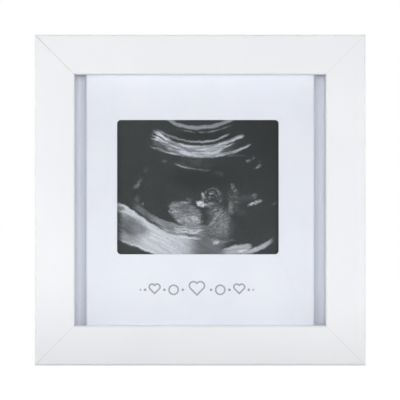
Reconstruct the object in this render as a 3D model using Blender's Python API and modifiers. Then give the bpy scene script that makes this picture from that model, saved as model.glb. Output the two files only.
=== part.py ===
"""Deep picture frame for an ultrasound print: mitred rails, glass, folded window card and easel back.

Lengths are in metres and +Z is up. The frame stands upright on its underside, with its front facing -Y.
The origin is the middle of the underside. A depth is counted from the front face towards the back.
"""

import math

import bmesh
import bpy
from mathutils import Matrix, Vector

# Outer frame
FRAME_WIDTH = 0.200
FRAME_HEIGHT = 0.200
RAIL_FACE = 0.024
LIP_OVERLAP = 0.006
LIP_THICKNESS = 0.005
OUTER_EDGE_RADIUS = 0.0008
SIGHT_EDGE_RADIUS = 0.0016
BACK_EDGE_RADIUS = 0.0004
MITRE_GAP = 0.0003

# Clearance between pieces that rest on each other, and play of the sheets in the rebate
CONTACT_GAP = 0.0003
REBATE_PLAY = 0.0005

# Sheets in the rebate, from front to back
GLASS_THICKNESS = 0.002
CARD_SPACER_DEPTH = 0.0031
CARD_THICKNESS = 0.001
CARD_STANDOFF = 0.0107
PRINT_THICKNESS = 0.0003
BACKING_THICKNESS = 0.0012
PANEL_THICKNESS = 0.003
PANEL_RECESS = 0.0005
SPACER_WIDTH = 0.005
SHEET_EDGE_BEVEL = 0.0002

# Folded window card
SIDE_CHANNEL_WIDTH = 0.0062
CARD_FOLD_RADIUS = 0.0013
WINDOW_WIDTH = 0.0985
WINDOW_HEIGHT = 0.0819
WINDOW_CORNER_RADIUS = 0.0023
WINDOW_SHIFT = -0.0014
WINDOW_RISE = 0.0079

# Print behind the window, held by two strips of tape
PRINT_SIDE_OVERLAP = 0.00575
PRINT_END_OVERLAP = 0.00505
TAPE_END_INSET = 0.010
TAPE_WIDTH = 0.014
TAPE_THICKNESS = 0.0003

# V-shaped corner nails, driven in from the back
NAIL_LEG = 0.0045
NAIL_SHEET = 0.0005
NAIL_DEPTH = 0.010
NAIL_HALF_ANGLE = math.radians(50)
NAIL_DISTANCES = {"outer": 0.009, "inner": 0.018}

# Turn buttons on the back of the side rails, and their screws
BUTTON_LENGTH = 0.026
BUTTON_WIDTH = 0.009
BUTTON_THICKNESS = 0.0009
BUTTON_LIFT = 0.0012
BUTTON_LIP_LENGTH = 0.004
BUTTON_PIVOT_INSET = 0.010
BUTTON_SPACING = 0.080
SCREW_RADIUS = 0.0013
SCREW_THREAD_RADIUS = 0.0015
SCREW_HEAD_RADIUS = 0.0032
SCREW_HEAD_HEIGHT = 0.0018
SCREW_LENGTH = 0.012
THREAD_RIDGES = 6
SCREW_CLEARANCE = 0.0003
RECESS_SPAN = 0.0034
RECESS_WIDTH = 0.0009
RECESS_DEPTH = 0.0011
SCREW_ANGLES = {("left", "upper"): 17, ("left", "lower"): 52, ("right", "upper"): 71, ("right", "lower"): 33}

# Easel strut, its hinge and the rivets
STRUT_THICKNESS = 0.0025
STRUT_CLEARANCE = 0.0008
STRUT_TOP_WIDTH = 0.036
STRUT_FOOT_WIDTH = 0.046
STRUT_CORNER_RADIUS = 0.004
STRUT_SLOT_CLEARANCE = 0.0006
STRUT_FOOT_HEIGHT = 0.006
HINGE_FROM_TOP = 0.070
HINGE_WIDTH = 0.024
HINGE_MIDDLE_KNUCKLE = 0.0096
LEAF_THICKNESS = 0.0009
LEAF_LENGTH = 0.014
CURL_TURN = math.radians(292)
PIN_CLEARANCE = 0.0002
PIN_HEAD_LENGTH = 0.0006
STRUT_STOP_ANGLE = math.radians(32)
RIVET_SPACING = 0.016
RIVET_FROM_AXIS = 0.0095
RIVET_RADIUS = 0.0012
RIVET_HEAD_RADIUS = 0.0023
RIVET_HEAD_HEIGHT = 0.0009
RIVET_TAIL_RADIUS = 0.0020
RIVET_TAIL_THICKNESS = 0.0004
RIVET_CLEARANCE = 0.0003

# Hanger: a strap riveted to the panel, curled round the bar of a wire triangle
HANGER_FROM_TOP = 0.030
STRAP_WIDTH = 0.008
STRAP_LENGTH = 0.009
STRAP_THICKNESS = 0.0008
STRAP_RIVET_DROP = 0.006
WIRE_RADIUS = 0.0008
WIRE_CLEARANCE = 0.0003
TRIANGLE_WIDTH = 0.022
TRIANGLE_HEIGHT = 0.021
TRIANGLE_CORNER_RADIUS = 0.0022

# Fineness of the round shapes
ARC_STEPS = 5
CURL_STEPS = 20
ROUND_STEPS = 24
WELD_DISTANCE = 1e-6
CUT_EXTRA = 0.001

# Depths worked out from the stack of sheets
GLASS_FRONT = LIP_THICKNESS + CONTACT_GAP
GLASS_BACK = GLASS_FRONT + GLASS_THICKNESS
SPACER_FRONT = GLASS_BACK + CONTACT_GAP
CARD_FRONT = SPACER_FRONT + CARD_SPACER_DEPTH + CONTACT_GAP
CARD_BACK = CARD_FRONT + CARD_THICKNESS
PRINT_FRONT = CARD_BACK + CONTACT_GAP
PRINT_BACK = PRINT_FRONT + PRINT_THICKNESS
FLANGE_FRONT = CARD_FRONT + CARD_STANDOFF
FLANGE_BACK = FLANGE_FRONT + CARD_THICKNESS
BACKING_FRONT = FLANGE_BACK + CONTACT_GAP
BACKING_BACK = BACKING_FRONT + BACKING_THICKNESS
PANEL_FRONT = BACKING_BACK + CONTACT_GAP
PANEL_BACK = PANEL_FRONT + PANEL_THICKNESS
RAIL_DEPTH = PANEL_BACK + PANEL_RECESS

# Sizes worked out from the frame
RAIL_WALL = RAIL_FACE - LIP_OVERLAP
SHEET_WIDTH = FRAME_WIDTH - 2 * (RAIL_WALL + REBATE_PLAY)
SHEET_HEIGHT = FRAME_HEIGHT - 2 * (RAIL_WALL + REBATE_PLAY)
FRAME_MIDDLE = Vector((0, 0, FRAME_HEIGHT / 2))
CARD_PANEL_WIDTH = FRAME_WIDTH - 2 * (RAIL_FACE + SIDE_CHANNEL_WIDTH)
WINDOW_MIDDLE = (WINDOW_SHIFT, FRAME_HEIGHT / 2 + WINDOW_RISE)
PRINT_WIDTH = WINDOW_WIDTH + 2 * PRINT_SIDE_OVERLAP
PRINT_HEIGHT = WINDOW_HEIGHT + 2 * PRINT_END_OVERLAP
TAPE_LENGTH = PRINT_WIDTH - 2 * TAPE_END_INSET
HINGE_HEIGHT = FRAME_HEIGHT - HINGE_FROM_TOP
HANGER_HEIGHT = FRAME_HEIGHT - HANGER_FROM_TOP

# The hinge is sized so that the strut clears the rails when it is folded
STRUT_FRONT = RAIL_DEPTH + STRUT_CLEARANCE
STRUT_BACK = STRUT_FRONT + STRUT_THICKNESS
FIXED_LEAF_FRONT = PANEL_BACK + CONTACT_GAP
FIXED_LEAF_BACK = FIXED_LEAF_FRONT + LEAF_THICKNESS
MOVING_LEAF_FRONT = STRUT_BACK + CONTACT_GAP
MOVING_LEAF_BACK = MOVING_LEAF_FRONT + LEAF_THICKNESS
KNUCKLE_RADIUS = (MOVING_LEAF_BACK - FIXED_LEAF_FRONT) / 2
HINGE_DEPTH = FIXED_LEAF_FRONT + KNUCKLE_RADIUS
PIN_RADIUS = KNUCKLE_RADIUS - LEAF_THICKNESS - PIN_CLEARANCE

# The hanger's curl stands on the panel
STRAP_FRONT = PANEL_BACK + CONTACT_GAP
CURL_RADIUS = WIRE_RADIUS + WIRE_CLEARANCE + STRAP_THICKNESS
HANGER_DEPTH = STRAP_FRONT + CURL_RADIUS

# Turn of each side about the frame's middle, from the left rail, and of each corner's outward diagonal
SIDE_TURNS = {"left": 0, "top": 90, "right": 180, "bottom": -90}
CORNERS = {
    "top_left": (-1, 1, -135),
    "top_right": (1, 1, -45),
    "bottom_right": (1, -1, 45),
    "bottom_left": (-1, -1, 135),
}

# Turns a shape drawn in its own XY plane to face the front: its X stays, and its Y becomes world Z
UPRIGHT = Matrix.Rotation(math.radians(90), 4, "X")
# Turns a shape drawn along its own Z to point out of the back
BACKWARD = Matrix.Rotation(math.radians(-90), 4, "X")
# Turns a shape drawn along its own Z to run along world X
ALONG_X = Matrix.Rotation(math.radians(90), 4, "Y")
# Turns a section drawn in its own XY plane so that its X is world Z and its Y stays the depth
SECTION = Matrix.Rotation(math.radians(-90), 4, "Y")


def at_depth(depth):
    """World Y of a depth counted from the front face."""
    return depth - RAIL_DEPTH / 2


def spot(x, depth, z):
    """Matrix that moves a shape to a place given by its depth."""
    return Matrix.Translation((x, at_depth(depth), z))


def empty_scene():
    for obj in list(bpy.data.objects):
        bpy.data.objects.remove(obj)


def new_collection(name):
    collection = bpy.data.collections.new(name)
    bpy.context.scene.collection.children.link(collection)
    return collection


empty_scene()
PARTS = new_collection("ultrasound_frame")
CUTTERS = new_collection("cutters")


def finish(name, colour, roughness, metallic=0.0):
    material = bpy.data.materials.new(name)
    material.use_nodes = True
    shader = material.node_tree.nodes["Principled BSDF"]
    shader.inputs["Base Color"].default_value = (*colour, 1)
    shader.inputs["Roughness"].default_value = roughness
    shader.inputs["Metallic"].default_value = metallic
    return material


WHITE_WRAP = finish("white_wrap", (0.86, 0.87, 0.89), 0.4)
WHITE_CARD = finish("white_card", (0.80, 0.82, 0.88), 0.7)
PRINT_PAPER = finish("print_paper", (0.10, 0.11, 0.11), 0.25)
CLEAR_GLASS = finish("clear_glass", (0.80, 0.86, 0.86), 0.02)
TAPE = finish("tape", (0.75, 0.66, 0.44), 0.6)
FIBREBOARD = finish("fibreboard", (0.42, 0.27, 0.15), 0.75)
ZINC = finish("zinc", (0.62, 0.64, 0.66), 0.35, 1.0)
BRASS = finish("brass", (0.66, 0.48, 0.20), 0.35, 1.0)


def add(name, mesh, place, material):
    """Makes one named piece of the object from a mesh."""
    obj = bpy.data.objects.new(name, mesh)
    obj.matrix_world = place
    mesh.materials.append(material)
    PARTS.objects.link(obj)
    return obj


def cutter(name, mesh, place):
    """Makes a helper that only takes material away."""
    obj = bpy.data.objects.new(name, mesh)
    obj.matrix_world = place
    obj.hide_render = True
    obj.display_type = "WIRE"
    CUTTERS.objects.link(obj)
    return obj


def combine(target, other, operation="DIFFERENCE"):
    boolean = target.modifiers.new(other.name, "BOOLEAN")
    boolean.operation = operation
    boolean.object = other


def soften(obj, width, segments=1):
    bevel = obj.modifiers.new("soft_edges", "BEVEL")
    bevel.width = width
    bevel.segments = segments
    bevel.limit_method = "ANGLE"


def hang_on(empty, *pieces):
    """Parents pieces to the empty on their joint's axis, where they lie."""
    for piece in pieces:
        piece.parent = empty
        piece.matrix_parent_inverse = empty.matrix_world.inverted()


def joint_empty(name, place):
    empty = bpy.data.objects.new(name, None)
    empty.empty_display_size = 0.01
    empty.matrix_world = place
    PARTS.objects.link(empty)
    return empty


def rounded(corners):
    """An outline whose corners are arcs. Each corner is ((x, y), radius)."""
    points = []
    for index, (corner, radius) in enumerate(corners):
        corner = Vector(corner)
        if radius <= 0:
            points.append(tuple(corner))
            continue
        before = (Vector(corners[index - 1][0]) - corner).normalized()
        after = (Vector(corners[(index + 1) % len(corners)][0]) - corner).normalized()
        half = before.angle(after) / 2
        centre = corner + (before + after).normalized() * (radius / math.sin(half))
        start = corner + before * (radius / math.tan(half)) - centre
        turn = start.angle_signed(corner + after * (radius / math.tan(half)) - centre)
        for step in range(ARC_STEPS + 1):
            spoke = Matrix.Rotation(-turn * step / ARC_STEPS, 2) @ start
            points.append(tuple(centre + spoke))
    return points


def rectangle(width, height, radius=0.0):
    x, y = width / 2, height / 2
    return rounded([((-x, -y), radius), ((x, -y), radius), ((x, y), radius), ((-x, y), radius)])


def sheet_mesh(name, outlines, thickness):
    """A flat sheet in its own XY plane. The first outline is its edge and the others are its holes."""
    curve = bpy.data.curves.new(name, "CURVE")
    curve.dimensions = "2D"
    curve.fill_mode = "BOTH"
    curve.extrude = thickness / 2
    for outline in outlines:
        spline = curve.splines.new("POLY")
        spline.points.add(len(outline) - 1)
        for point, (x, y) in zip(spline.points, outline):
            point.co = (x, y, 0, 1)
        spline.use_cyclic_u = True
    return mesh_of_curve(name, curve)


def mesh_of_curve(name, curve):
    """The curve's solid as a mesh with its caps welded."""
    guide = bpy.data.objects.new(name, curve)
    PARTS.objects.link(guide)
    graph = bpy.context.evaluated_depsgraph_get()
    mesh = bpy.data.meshes.new_from_object(guide.evaluated_get(graph))
    bpy.data.objects.remove(guide)
    shape = bmesh.new()
    shape.from_mesh(mesh)
    bmesh.ops.remove_doubles(shape, verts=shape.verts, dist=WELD_DISTANCE)
    bmesh.ops.recalc_face_normals(shape, faces=shape.faces)
    shape.to_mesh(mesh)
    shape.free()
    return mesh


def box_mesh(name, size):
    shape = bmesh.new()
    bmesh.ops.create_cube(shape, size=1, matrix=Matrix.Diagonal((*size, 1)))
    mesh = bpy.data.meshes.new(name)
    shape.to_mesh(mesh)
    shape.free()
    return mesh


def profile_mesh(name, profile):
    """A line of (radius, height) points that runs from top to bottom, to be turned about its own Z axis."""
    mesh = bpy.data.meshes.new(name)
    edges = [(index, index + 1) for index in range(len(profile) - 1)]
    mesh.from_pydata([(radius, 0, height) for radius, height in profile], edges, [])
    return mesh


def turn(obj):
    screw = obj.modifiers.new("turn", "SCREW")
    screw.steps = screw.render_steps = ROUND_STEPS
    screw.use_merge_vertices = True
    screw.merge_threshold = WELD_DISTANCE
    return obj


def stepped_hole(target, name, x, z, steps):
    """Cuts a hole whose radius changes with depth. Each step is (radius, nearer depth, farther depth)."""
    profile = [(0, steps[0][1])]
    for radius, near, far in steps:
        profile += [(radius, near), (radius, far)]
    profile.append((0, steps[-1][2]))
    # Depth runs along the cutter's own -Z, so the nearest step is at the top of its profile
    mesh = profile_mesh(name, [(radius, -depth) for radius, depth in profile])
    combine(target, turn(cutter(name, mesh, spot(x, 0, z) @ UPRIGHT)))


def sheet_between(name, width, height, front, back, material):
    """A flat rectangular board centred in the frame, between two depths."""
    mesh = box_mesh(name, (width, back - front, height))
    return add(name, mesh, spot(0, (front + back) / 2, FRAME_MIDDLE.z), material)


def side_place(side):
    """The middle of a rail's outer face: X runs inwards, Y is world Y and Z runs along the rail."""
    half = (FRAME_WIDTH if side in ("left", "right") else FRAME_HEIGHT) / 2
    turn = Matrix.Rotation(math.radians(SIDE_TURNS[side]), 4, "Y")
    return Matrix.Translation(FRAME_MIDDLE) @ turn @ Matrix.Translation((-half, at_depth(0), 0))


def rail_section():
    """A rail's section: across from its outer face, and in depth from its front."""
    return rounded(
        [
            ((0, 0), OUTER_EDGE_RADIUS),
            ((RAIL_FACE, 0), SIGHT_EDGE_RADIUS),
            ((RAIL_FACE, LIP_THICKNESS), BACK_EDGE_RADIUS),
            ((RAIL_WALL, LIP_THICKNESS), 0),
            ((RAIL_WALL, RAIL_DEPTH), BACK_EDGE_RADIUS),
            ((0, RAIL_DEPTH), BACK_EDGE_RADIUS),
        ]
    )


def build_rail(side):
    """One rail, mitred by pulling each end back in step with the distance across the section."""
    name = f"rail_{side}"
    length = FRAME_HEIGHT if side in ("left", "right") else FRAME_WIDTH
    mesh = sheet_mesh(name, [rail_section()], length)
    for vertex in mesh.vertices:
        reach = length / 2 - vertex.co.x - MITRE_GAP / math.sqrt(2)
        vertex.co.z = math.copysign(reach, vertex.co.z)
    return add(name, mesh, side_place(side), WHITE_WRAP)


def nail_outline(extra):
    """A V whose mouth opens towards +X, with extra material all round for its slot."""
    sheet = NAIL_SHEET / 2 + extra
    leg = NAIL_LEG + extra
    cos, sin = math.cos(NAIL_HALF_ANGLE), math.sin(NAIL_HALF_ANGLE)
    upper = [
        (-sheet / sin, 0),
        (leg * cos - sheet * sin, leg * sin + sheet * cos),
        (leg * cos + sheet * sin, leg * sin - sheet * cos),
        (sheet / sin, 0),
    ]
    lower = [(x, -y) for x, y in (upper[2], upper[1])]
    return upper + lower


def build_corner_nails(rails):
    """Two V-nails across each mitre, in slots that are a little larger than they are."""
    for corner, (right, up, turn) in CORNERS.items():
        for row, distance in NAIL_DISTANCES.items():
            name = f"corner_nail_{corner}_{row}"
            inwards = distance / math.sqrt(2)
            x = right * (FRAME_WIDTH / 2 - inwards)
            z = FRAME_MIDDLE.z + up * (FRAME_HEIGHT / 2 - inwards)
            turned_upright = Matrix.Rotation(math.radians(turn), 4, "Y") @ UPRIGHT
            depth = RAIL_DEPTH - CONTACT_GAP - NAIL_DEPTH / 2
            mesh = sheet_mesh(name, [nail_outline(0)], NAIL_DEPTH)
            add(name, mesh, spot(x, depth, z) @ turned_upright, ZINC)
            slot_depth = NAIL_DEPTH + 2 * CONTACT_GAP + CUT_EXTRA
            slot_middle = RAIL_DEPTH + CUT_EXTRA - slot_depth / 2
            slot_mesh = sheet_mesh(f"{name}_slot", [nail_outline(CONTACT_GAP)], slot_depth)
            slot = cutter(f"{name}_slot", slot_mesh, spot(x, slot_middle, z) @ turned_upright)
            for side in corner.split("_"):
                combine(rails[side], slot)


def build_glass():
    glass = sheet_between("glass_pane", SHEET_WIDTH, SHEET_HEIGHT, GLASS_FRONT, GLASS_BACK, CLEAR_GLASS)
    soften(glass, SHEET_EDGE_BEVEL)


def build_spacers():
    """Strips that line the rebate: the upright ones reach the card's flanges, the others its panel."""
    deep = FLANGE_FRONT - CONTACT_GAP - SPACER_FRONT
    upright_x = SHEET_WIDTH / 2 - SPACER_WIDTH / 2
    level_z = SHEET_HEIGHT / 2 - SPACER_WIDTH / 2
    level_length = SHEET_WIDTH - 2 * (SPACER_WIDTH + CONTACT_GAP)
    for side, sign in (("left", -1), ("right", 1)):
        mesh = box_mesh(f"spacer_{side}", (SPACER_WIDTH, deep, SHEET_HEIGHT))
        place = spot(sign * upright_x, SPACER_FRONT + deep / 2, FRAME_MIDDLE.z)
        add(f"spacer_{side}", mesh, place, WHITE_CARD)
    for side, sign in (("bottom", -1), ("top", 1)):
        mesh = box_mesh(f"spacer_{side}", (level_length, CARD_SPACER_DEPTH, SPACER_WIDTH))
        place = spot(0, SPACER_FRONT + CARD_SPACER_DEPTH / 2, FRAME_MIDDLE.z + sign * level_z)
        add(f"spacer_{side}", mesh, place, WHITE_CARD)


def card_section():
    """The folded card seen from above: a raised panel, two legs and two flanges."""
    panel, edge = CARD_PANEL_WIDTH / 2, SHEET_WIDTH / 2
    sheet = CARD_THICKNESS
    inner = panel - sheet
    outside, inside = CARD_FOLD_RADIUS, CARD_FOLD_RADIUS - CARD_THICKNESS
    right = [
        ((panel, CARD_FRONT), outside),
        ((panel, FLANGE_FRONT), inside),
        ((edge, FLANGE_FRONT), 0),
        ((edge, FLANGE_BACK), 0),
        ((inner, FLANGE_BACK), outside),
        ((inner, CARD_BACK), inside),
    ]
    left = [((-x, depth), radius) for (x, depth), radius in reversed(right)]
    return rounded(right + left)


def build_window_card():
    mesh = sheet_mesh("window_card", [card_section()], SHEET_HEIGHT)
    card = add("window_card", mesh, spot(0, 0, FRAME_MIDDLE.z), WHITE_CARD)
    outline = rectangle(WINDOW_WIDTH, WINDOW_HEIGHT, WINDOW_CORNER_RADIUS)
    hole = sheet_mesh("window", [outline], CARD_THICKNESS + 2 * CUT_EXTRA)
    x, z = WINDOW_MIDDLE
    combine(card, cutter("window", hole, spot(x, (CARD_FRONT + CARD_BACK) / 2, z) @ UPRIGHT))


def build_print():
    """The print behind the window, and a strip of tape stepping over its top and bottom edges."""
    x, z = WINDOW_MIDDLE
    mesh = box_mesh("ultrasound_print", (PRINT_WIDTH, PRINT_THICKNESS, PRINT_HEIGHT))
    add("ultrasound_print", mesh, spot(x, (PRINT_FRONT + PRINT_BACK) / 2, z), PRINT_PAPER)
    on_card, on_print = CARD_BACK + CONTACT_GAP, PRINT_BACK + CONTACT_GAP
    half, step = TAPE_WIDTH / 2, CONTACT_GAP
    section = [
        (half, on_card),
        (step, on_card),
        (step, on_print),
        (-half, on_print),
        (-half, on_print + TAPE_THICKNESS),
        (step + TAPE_THICKNESS, on_print + TAPE_THICKNESS),
        (step + TAPE_THICKNESS, on_card + TAPE_THICKNESS),
        (half, on_card + TAPE_THICKNESS),
    ]
    for side, sign in (("top", 1), ("bottom", -1)):
        outline = [(sign * height, at_depth(depth)) for height, depth in section]
        edge = z + sign * PRINT_HEIGHT / 2
        mesh = sheet_mesh(f"tape_{side}", [outline], TAPE_LENGTH)
        add(f"tape_{side}", mesh, Matrix.Translation((x, 0, edge)) @ SECTION, TAPE)


def build_back():
    """The white backing card and the fibreboard panel, drilled for the hinge's and the hanger's rivets."""
    sheet_between("backing_card", SHEET_WIDTH, SHEET_HEIGHT, BACKING_FRONT, BACKING_BACK, WHITE_CARD)
    panel = sheet_between("back_panel", SHEET_WIDTH, SHEET_HEIGHT, PANEL_FRONT, PANEL_BACK, FIBREBOARD)
    soften(panel, SHEET_EDGE_BEVEL)
    rivet_spots = {
        "hinge_left": (-RIVET_SPACING / 2, HINGE_HEIGHT + RIVET_FROM_AXIS),
        "hinge_right": (RIVET_SPACING / 2, HINGE_HEIGHT + RIVET_FROM_AXIS),
        "hanger": (0, HANGER_HEIGHT - STRAP_RIVET_DROP),
    }
    for name, (x, z) in rivet_spots.items():
        rivet_hole(panel, f"panel_hole_{name}", x, z, PANEL_FRONT, PANEL_BACK)


def drill(target, name, x, z, front, back, radius=RIVET_RADIUS + RIVET_CLEARANCE):
    """A plain hole through a piece along world Y."""
    stepped_hole(target, name, x, z, [(radius, front - CUT_EXTRA, back + CUT_EXTRA)])


def rivet_hole(board, name, x, z, front, back):
    """A hole through a board, with a counterbore in its front that takes the rivet's tail."""
    wide, narrow = RIVET_TAIL_RADIUS + RIVET_CLEARANCE, RIVET_RADIUS + RIVET_CLEARANCE
    seat = front + RIVET_TAIL_THICKNESS + 2 * CONTACT_GAP
    steps = [(wide, front - CUT_EXTRA, seat), (narrow, seat, back + CUT_EXTRA)]
    stepped_hole(board, name, x, z, steps)


def build_rivet(name, x, z, head_seat, board_front):
    """A rivet from its domed head behind head_seat to its rolled tail, sunk in the front of a board."""
    head = head_seat + CONTACT_GAP
    tail = board_front + RIVET_TAIL_THICKNESS + CONTACT_GAP
    dome = [(RIVET_HEAD_RADIUS * math.sin(a), head + RIVET_HEAD_HEIGHT * math.cos(a)) for a in arc_turns()]
    dome[0] = (0, head + RIVET_HEAD_HEIGHT)
    profile = dome + [
        (RIVET_RADIUS, head),
        (RIVET_RADIUS, tail),
        (RIVET_TAIL_RADIUS, tail),
        (RIVET_TAIL_RADIUS, tail - RIVET_TAIL_THICKNESS),
        (0, tail - RIVET_TAIL_THICKNESS),
    ]
    return turn(add(name, profile_mesh(name, profile), spot(x, 0, z) @ BACKWARD, ZINC))


def arc_turns():
    """Angles over a quarter turn."""
    return [math.pi / 2 * step / ARC_STEPS for step in range(ARC_STEPS + 1)]


def button_mesh(name):
    """A turn button with round ends, its tip bent up for a finger. It points along its own +X."""
    back_end, tip = -BUTTON_WIDTH / 2, BUTTON_LENGTH - BUTTON_WIDTH / 2
    bend = tip - BUTTON_LIP_LENGTH
    half = BUTTON_THICKNESS / 2
    side_view = [
        (back_end, -half),
        (bend, -half),
        (tip, -half + BUTTON_LIFT),
        (tip, half + BUTTON_LIFT),
        (bend, half),
        (back_end, half),
    ]
    return sheet_mesh(name, [side_view], BUTTON_WIDTH)


def button_outline():
    """The round-ended outline of a turn button about its pivot."""
    radius = BUTTON_WIDTH / 2
    reach = BUTTON_LENGTH - BUTTON_WIDTH
    quarter = math.pi / 2
    turns = [quarter - 2 * quarter * step / (2 * ARC_STEPS) for step in range(2 * ARC_STEPS + 1)]
    tip = [(reach + radius * math.cos(a), radius * math.sin(a)) for a in turns]
    heel = [(-radius * math.cos(a), -radius * math.sin(a)) for a in turns]
    return tip + heel


def build_turn_buttons(rails):
    """Four turn buttons that hold the panel in, each on a screw in a side rail."""
    plate_depth = RAIL_DEPTH + CONTACT_GAP + BUTTON_THICKNESS / 2
    for side, sign in (("left", 1), ("right", -1)):
        x = -sign * (FRAME_WIDTH / 2 - BUTTON_PIVOT_INSET)
        for level, up in (("upper", 1), ("lower", -1)):
            z = FRAME_MIDDLE.z + up * BUTTON_SPACING / 2
            name = f"turn_button_{side}_{level}"
            pivot = spot(x, plate_depth, z)
            # The bent strip is cut to its outline, and points at the panel
            aim = Matrix.Rotation(0 if sign > 0 else math.pi, 4, "Y")
            button = add(name, button_mesh(name), pivot @ aim, ZINC)
            outline_mesh = sheet_mesh(f"{name}_outline", [button_outline()], BUTTON_WIDTH)
            outline = cutter(f"{name}_outline", outline_mesh, pivot @ aim @ UPRIGHT)
            combine(button, outline, "INTERSECT")
            drill(
                button,
                f"{name}_hole",
                x,
                z,
                RAIL_DEPTH,
                RAIL_DEPTH + BUTTON_THICKNESS,
                SCREW_THREAD_RADIUS + SCREW_CLEARANCE,
            )
            hang_on(joint_empty(f"{name}_axis", pivot), button)
            build_screw(f"screw_{side}_{level}", x, z, rails[side], SCREW_ANGLES[side, level])


def build_screw(name, x, z, rail, driven_angle):
    """A pan-head screw through a turn button into its rail, with a cross recess and thread ridges."""
    seat = RAIL_DEPTH + 2 * CONTACT_GAP + BUTTON_THICKNESS
    dome = [(SCREW_HEAD_RADIUS * math.sin(a), SCREW_HEAD_HEIGHT * math.cos(a)) for a in arc_turns()]
    dome[0] = (0, SCREW_HEAD_HEIGHT)
    plain = BUTTON_THICKNESS + 3 * CONTACT_GAP
    pitch = (SCREW_LENGTH - plain - 2 * SCREW_RADIUS) / THREAD_RIDGES
    thread = []
    for ridge in range(THREAD_RIDGES):
        top = -plain - ridge * pitch
        thread += [(SCREW_RADIUS, top), (SCREW_THREAD_RADIUS, top - pitch / 2)]
    profile = dome + [(SCREW_RADIUS, 0)] + thread
    profile += [(SCREW_RADIUS, -plain - THREAD_RIDGES * pitch), (0, -SCREW_LENGTH)]
    screw = turn(add(name, profile_mesh(name, profile), spot(x, seat, z) @ BACKWARD, ZINC))
    arm, width = RECESS_SPAN / 2, RECESS_WIDTH / 2
    arms = [
        (arm, -width), (arm, width), (width, width), (width, arm), (-width, arm), (-width, width),
        (-arm, width), (-arm, -width), (-width, -width), (-width, -arm), (width, -arm), (width, -width),
    ]
    cross = sheet_mesh(f"{name}_recess", [arms], RECESS_DEPTH + CUT_EXTRA)
    middle = seat + SCREW_HEAD_HEIGHT - RECESS_DEPTH + (RECESS_DEPTH + CUT_EXTRA) / 2
    driven = Matrix.Rotation(math.radians(driven_angle), 4, "Z")
    combine(screw, cutter(f"{name}_recess", cross, spot(x, middle, z) @ UPRIGHT @ driven))
    pilot = SCREW_THREAD_RADIUS + SCREW_CLEARANCE
    stepped_hole(rail, f"{name}_pilot", x, z, [(pilot, RAIL_DEPTH - SCREW_LENGTH, RAIL_DEPTH + CUT_EXTRA)])


def curled_outline(radius, thickness, reach, up, facing):
    """The section of a strip whose end is curled round an axis at the origin, as (height, depth).

    The flat part runs from the axis to reach, up or down, on the side of the axis set by facing.
    """
    turns = [CURL_TURN * step / CURL_STEPS for step in range(CURL_STEPS + 1)]
    inner = radius - thickness
    outside = [(-radius * math.sin(a), radius * math.cos(a)) for a in turns]
    inside = [(-inner * math.sin(a), inner * math.cos(a)) for a in reversed(turns)]
    points = [(reach, radius)] + outside + inside + [(reach, inner)]
    return [(up * height, facing * depth) for height, depth in points]


def build_leaf(name, up, facing, gaps):
    """A hinge leaf with a curl along its whole width, then cut away where the other leaf's curl turns."""
    outline = curled_outline(KNUCKLE_RADIUS, LEAF_THICKNESS, LEAF_LENGTH, up, facing)
    axis = spot(0, HINGE_DEPTH, HINGE_HEIGHT)
    leaf = add(name, sheet_mesh(name, [outline], HINGE_WIDTH), axis @ SECTION, BRASS)
    notch = KNUCKLE_RADIUS + CONTACT_GAP
    below = KNUCKLE_RADIUS + CUT_EXTRA
    for index, (start, end) in enumerate(gaps):
        size = (end - start, 2 * below, notch + below)
        place = axis @ Matrix.Translation(((start + end) / 2, 0, up * (notch - below) / 2))
        combine(leaf, cutter(f"{name}_gap_{index}", box_mesh(f"{name}_gap", size), place))
    return leaf


def build_hinge():
    """A pinned hinge: the fixed leaf on the panel has the outer knuckles, the strut's leaf the middle one."""
    half, split = HINGE_WIDTH / 2, HINGE_MIDDLE_KNUCKLE / 2
    inner = split + CONTACT_GAP
    fixed = build_leaf("hinge_leaf_fixed", 1, -1, [(-inner, inner)])
    moving_gaps = [(-half - CUT_EXTRA, -split), (split, half + CUT_EXTRA)]
    moving = build_leaf("hinge_leaf_moving", -1, 1, moving_gaps)

    end = half + CONTACT_GAP
    head_radius = PIN_RADIUS + LEAF_THICKNESS / 2
    profile = [(0, end + PIN_HEAD_LENGTH), (head_radius, end + PIN_HEAD_LENGTH), (head_radius, end)]
    profile += [(PIN_RADIUS, end), (PIN_RADIUS, -end), (head_radius, -end)]
    profile += [(head_radius, -end - PIN_HEAD_LENGTH), (0, -end - PIN_HEAD_LENGTH)]
    axis = spot(0, HINGE_DEPTH, HINGE_HEIGHT)
    turn(add("hinge_pin", profile_mesh("hinge_pin", profile), axis @ ALONG_X, ZINC))

    for side, sign in (("left", -1), ("right", 1)):
        x = sign * RIVET_SPACING / 2
        z = HINGE_HEIGHT + RIVET_FROM_AXIS
        drill(fixed, f"fixed_leaf_hole_{side}", x, z, FIXED_LEAF_FRONT, FIXED_LEAF_BACK)
        build_rivet(f"hinge_rivet_fixed_{side}", x, z, FIXED_LEAF_BACK, PANEL_FRONT)
    return moving


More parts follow.
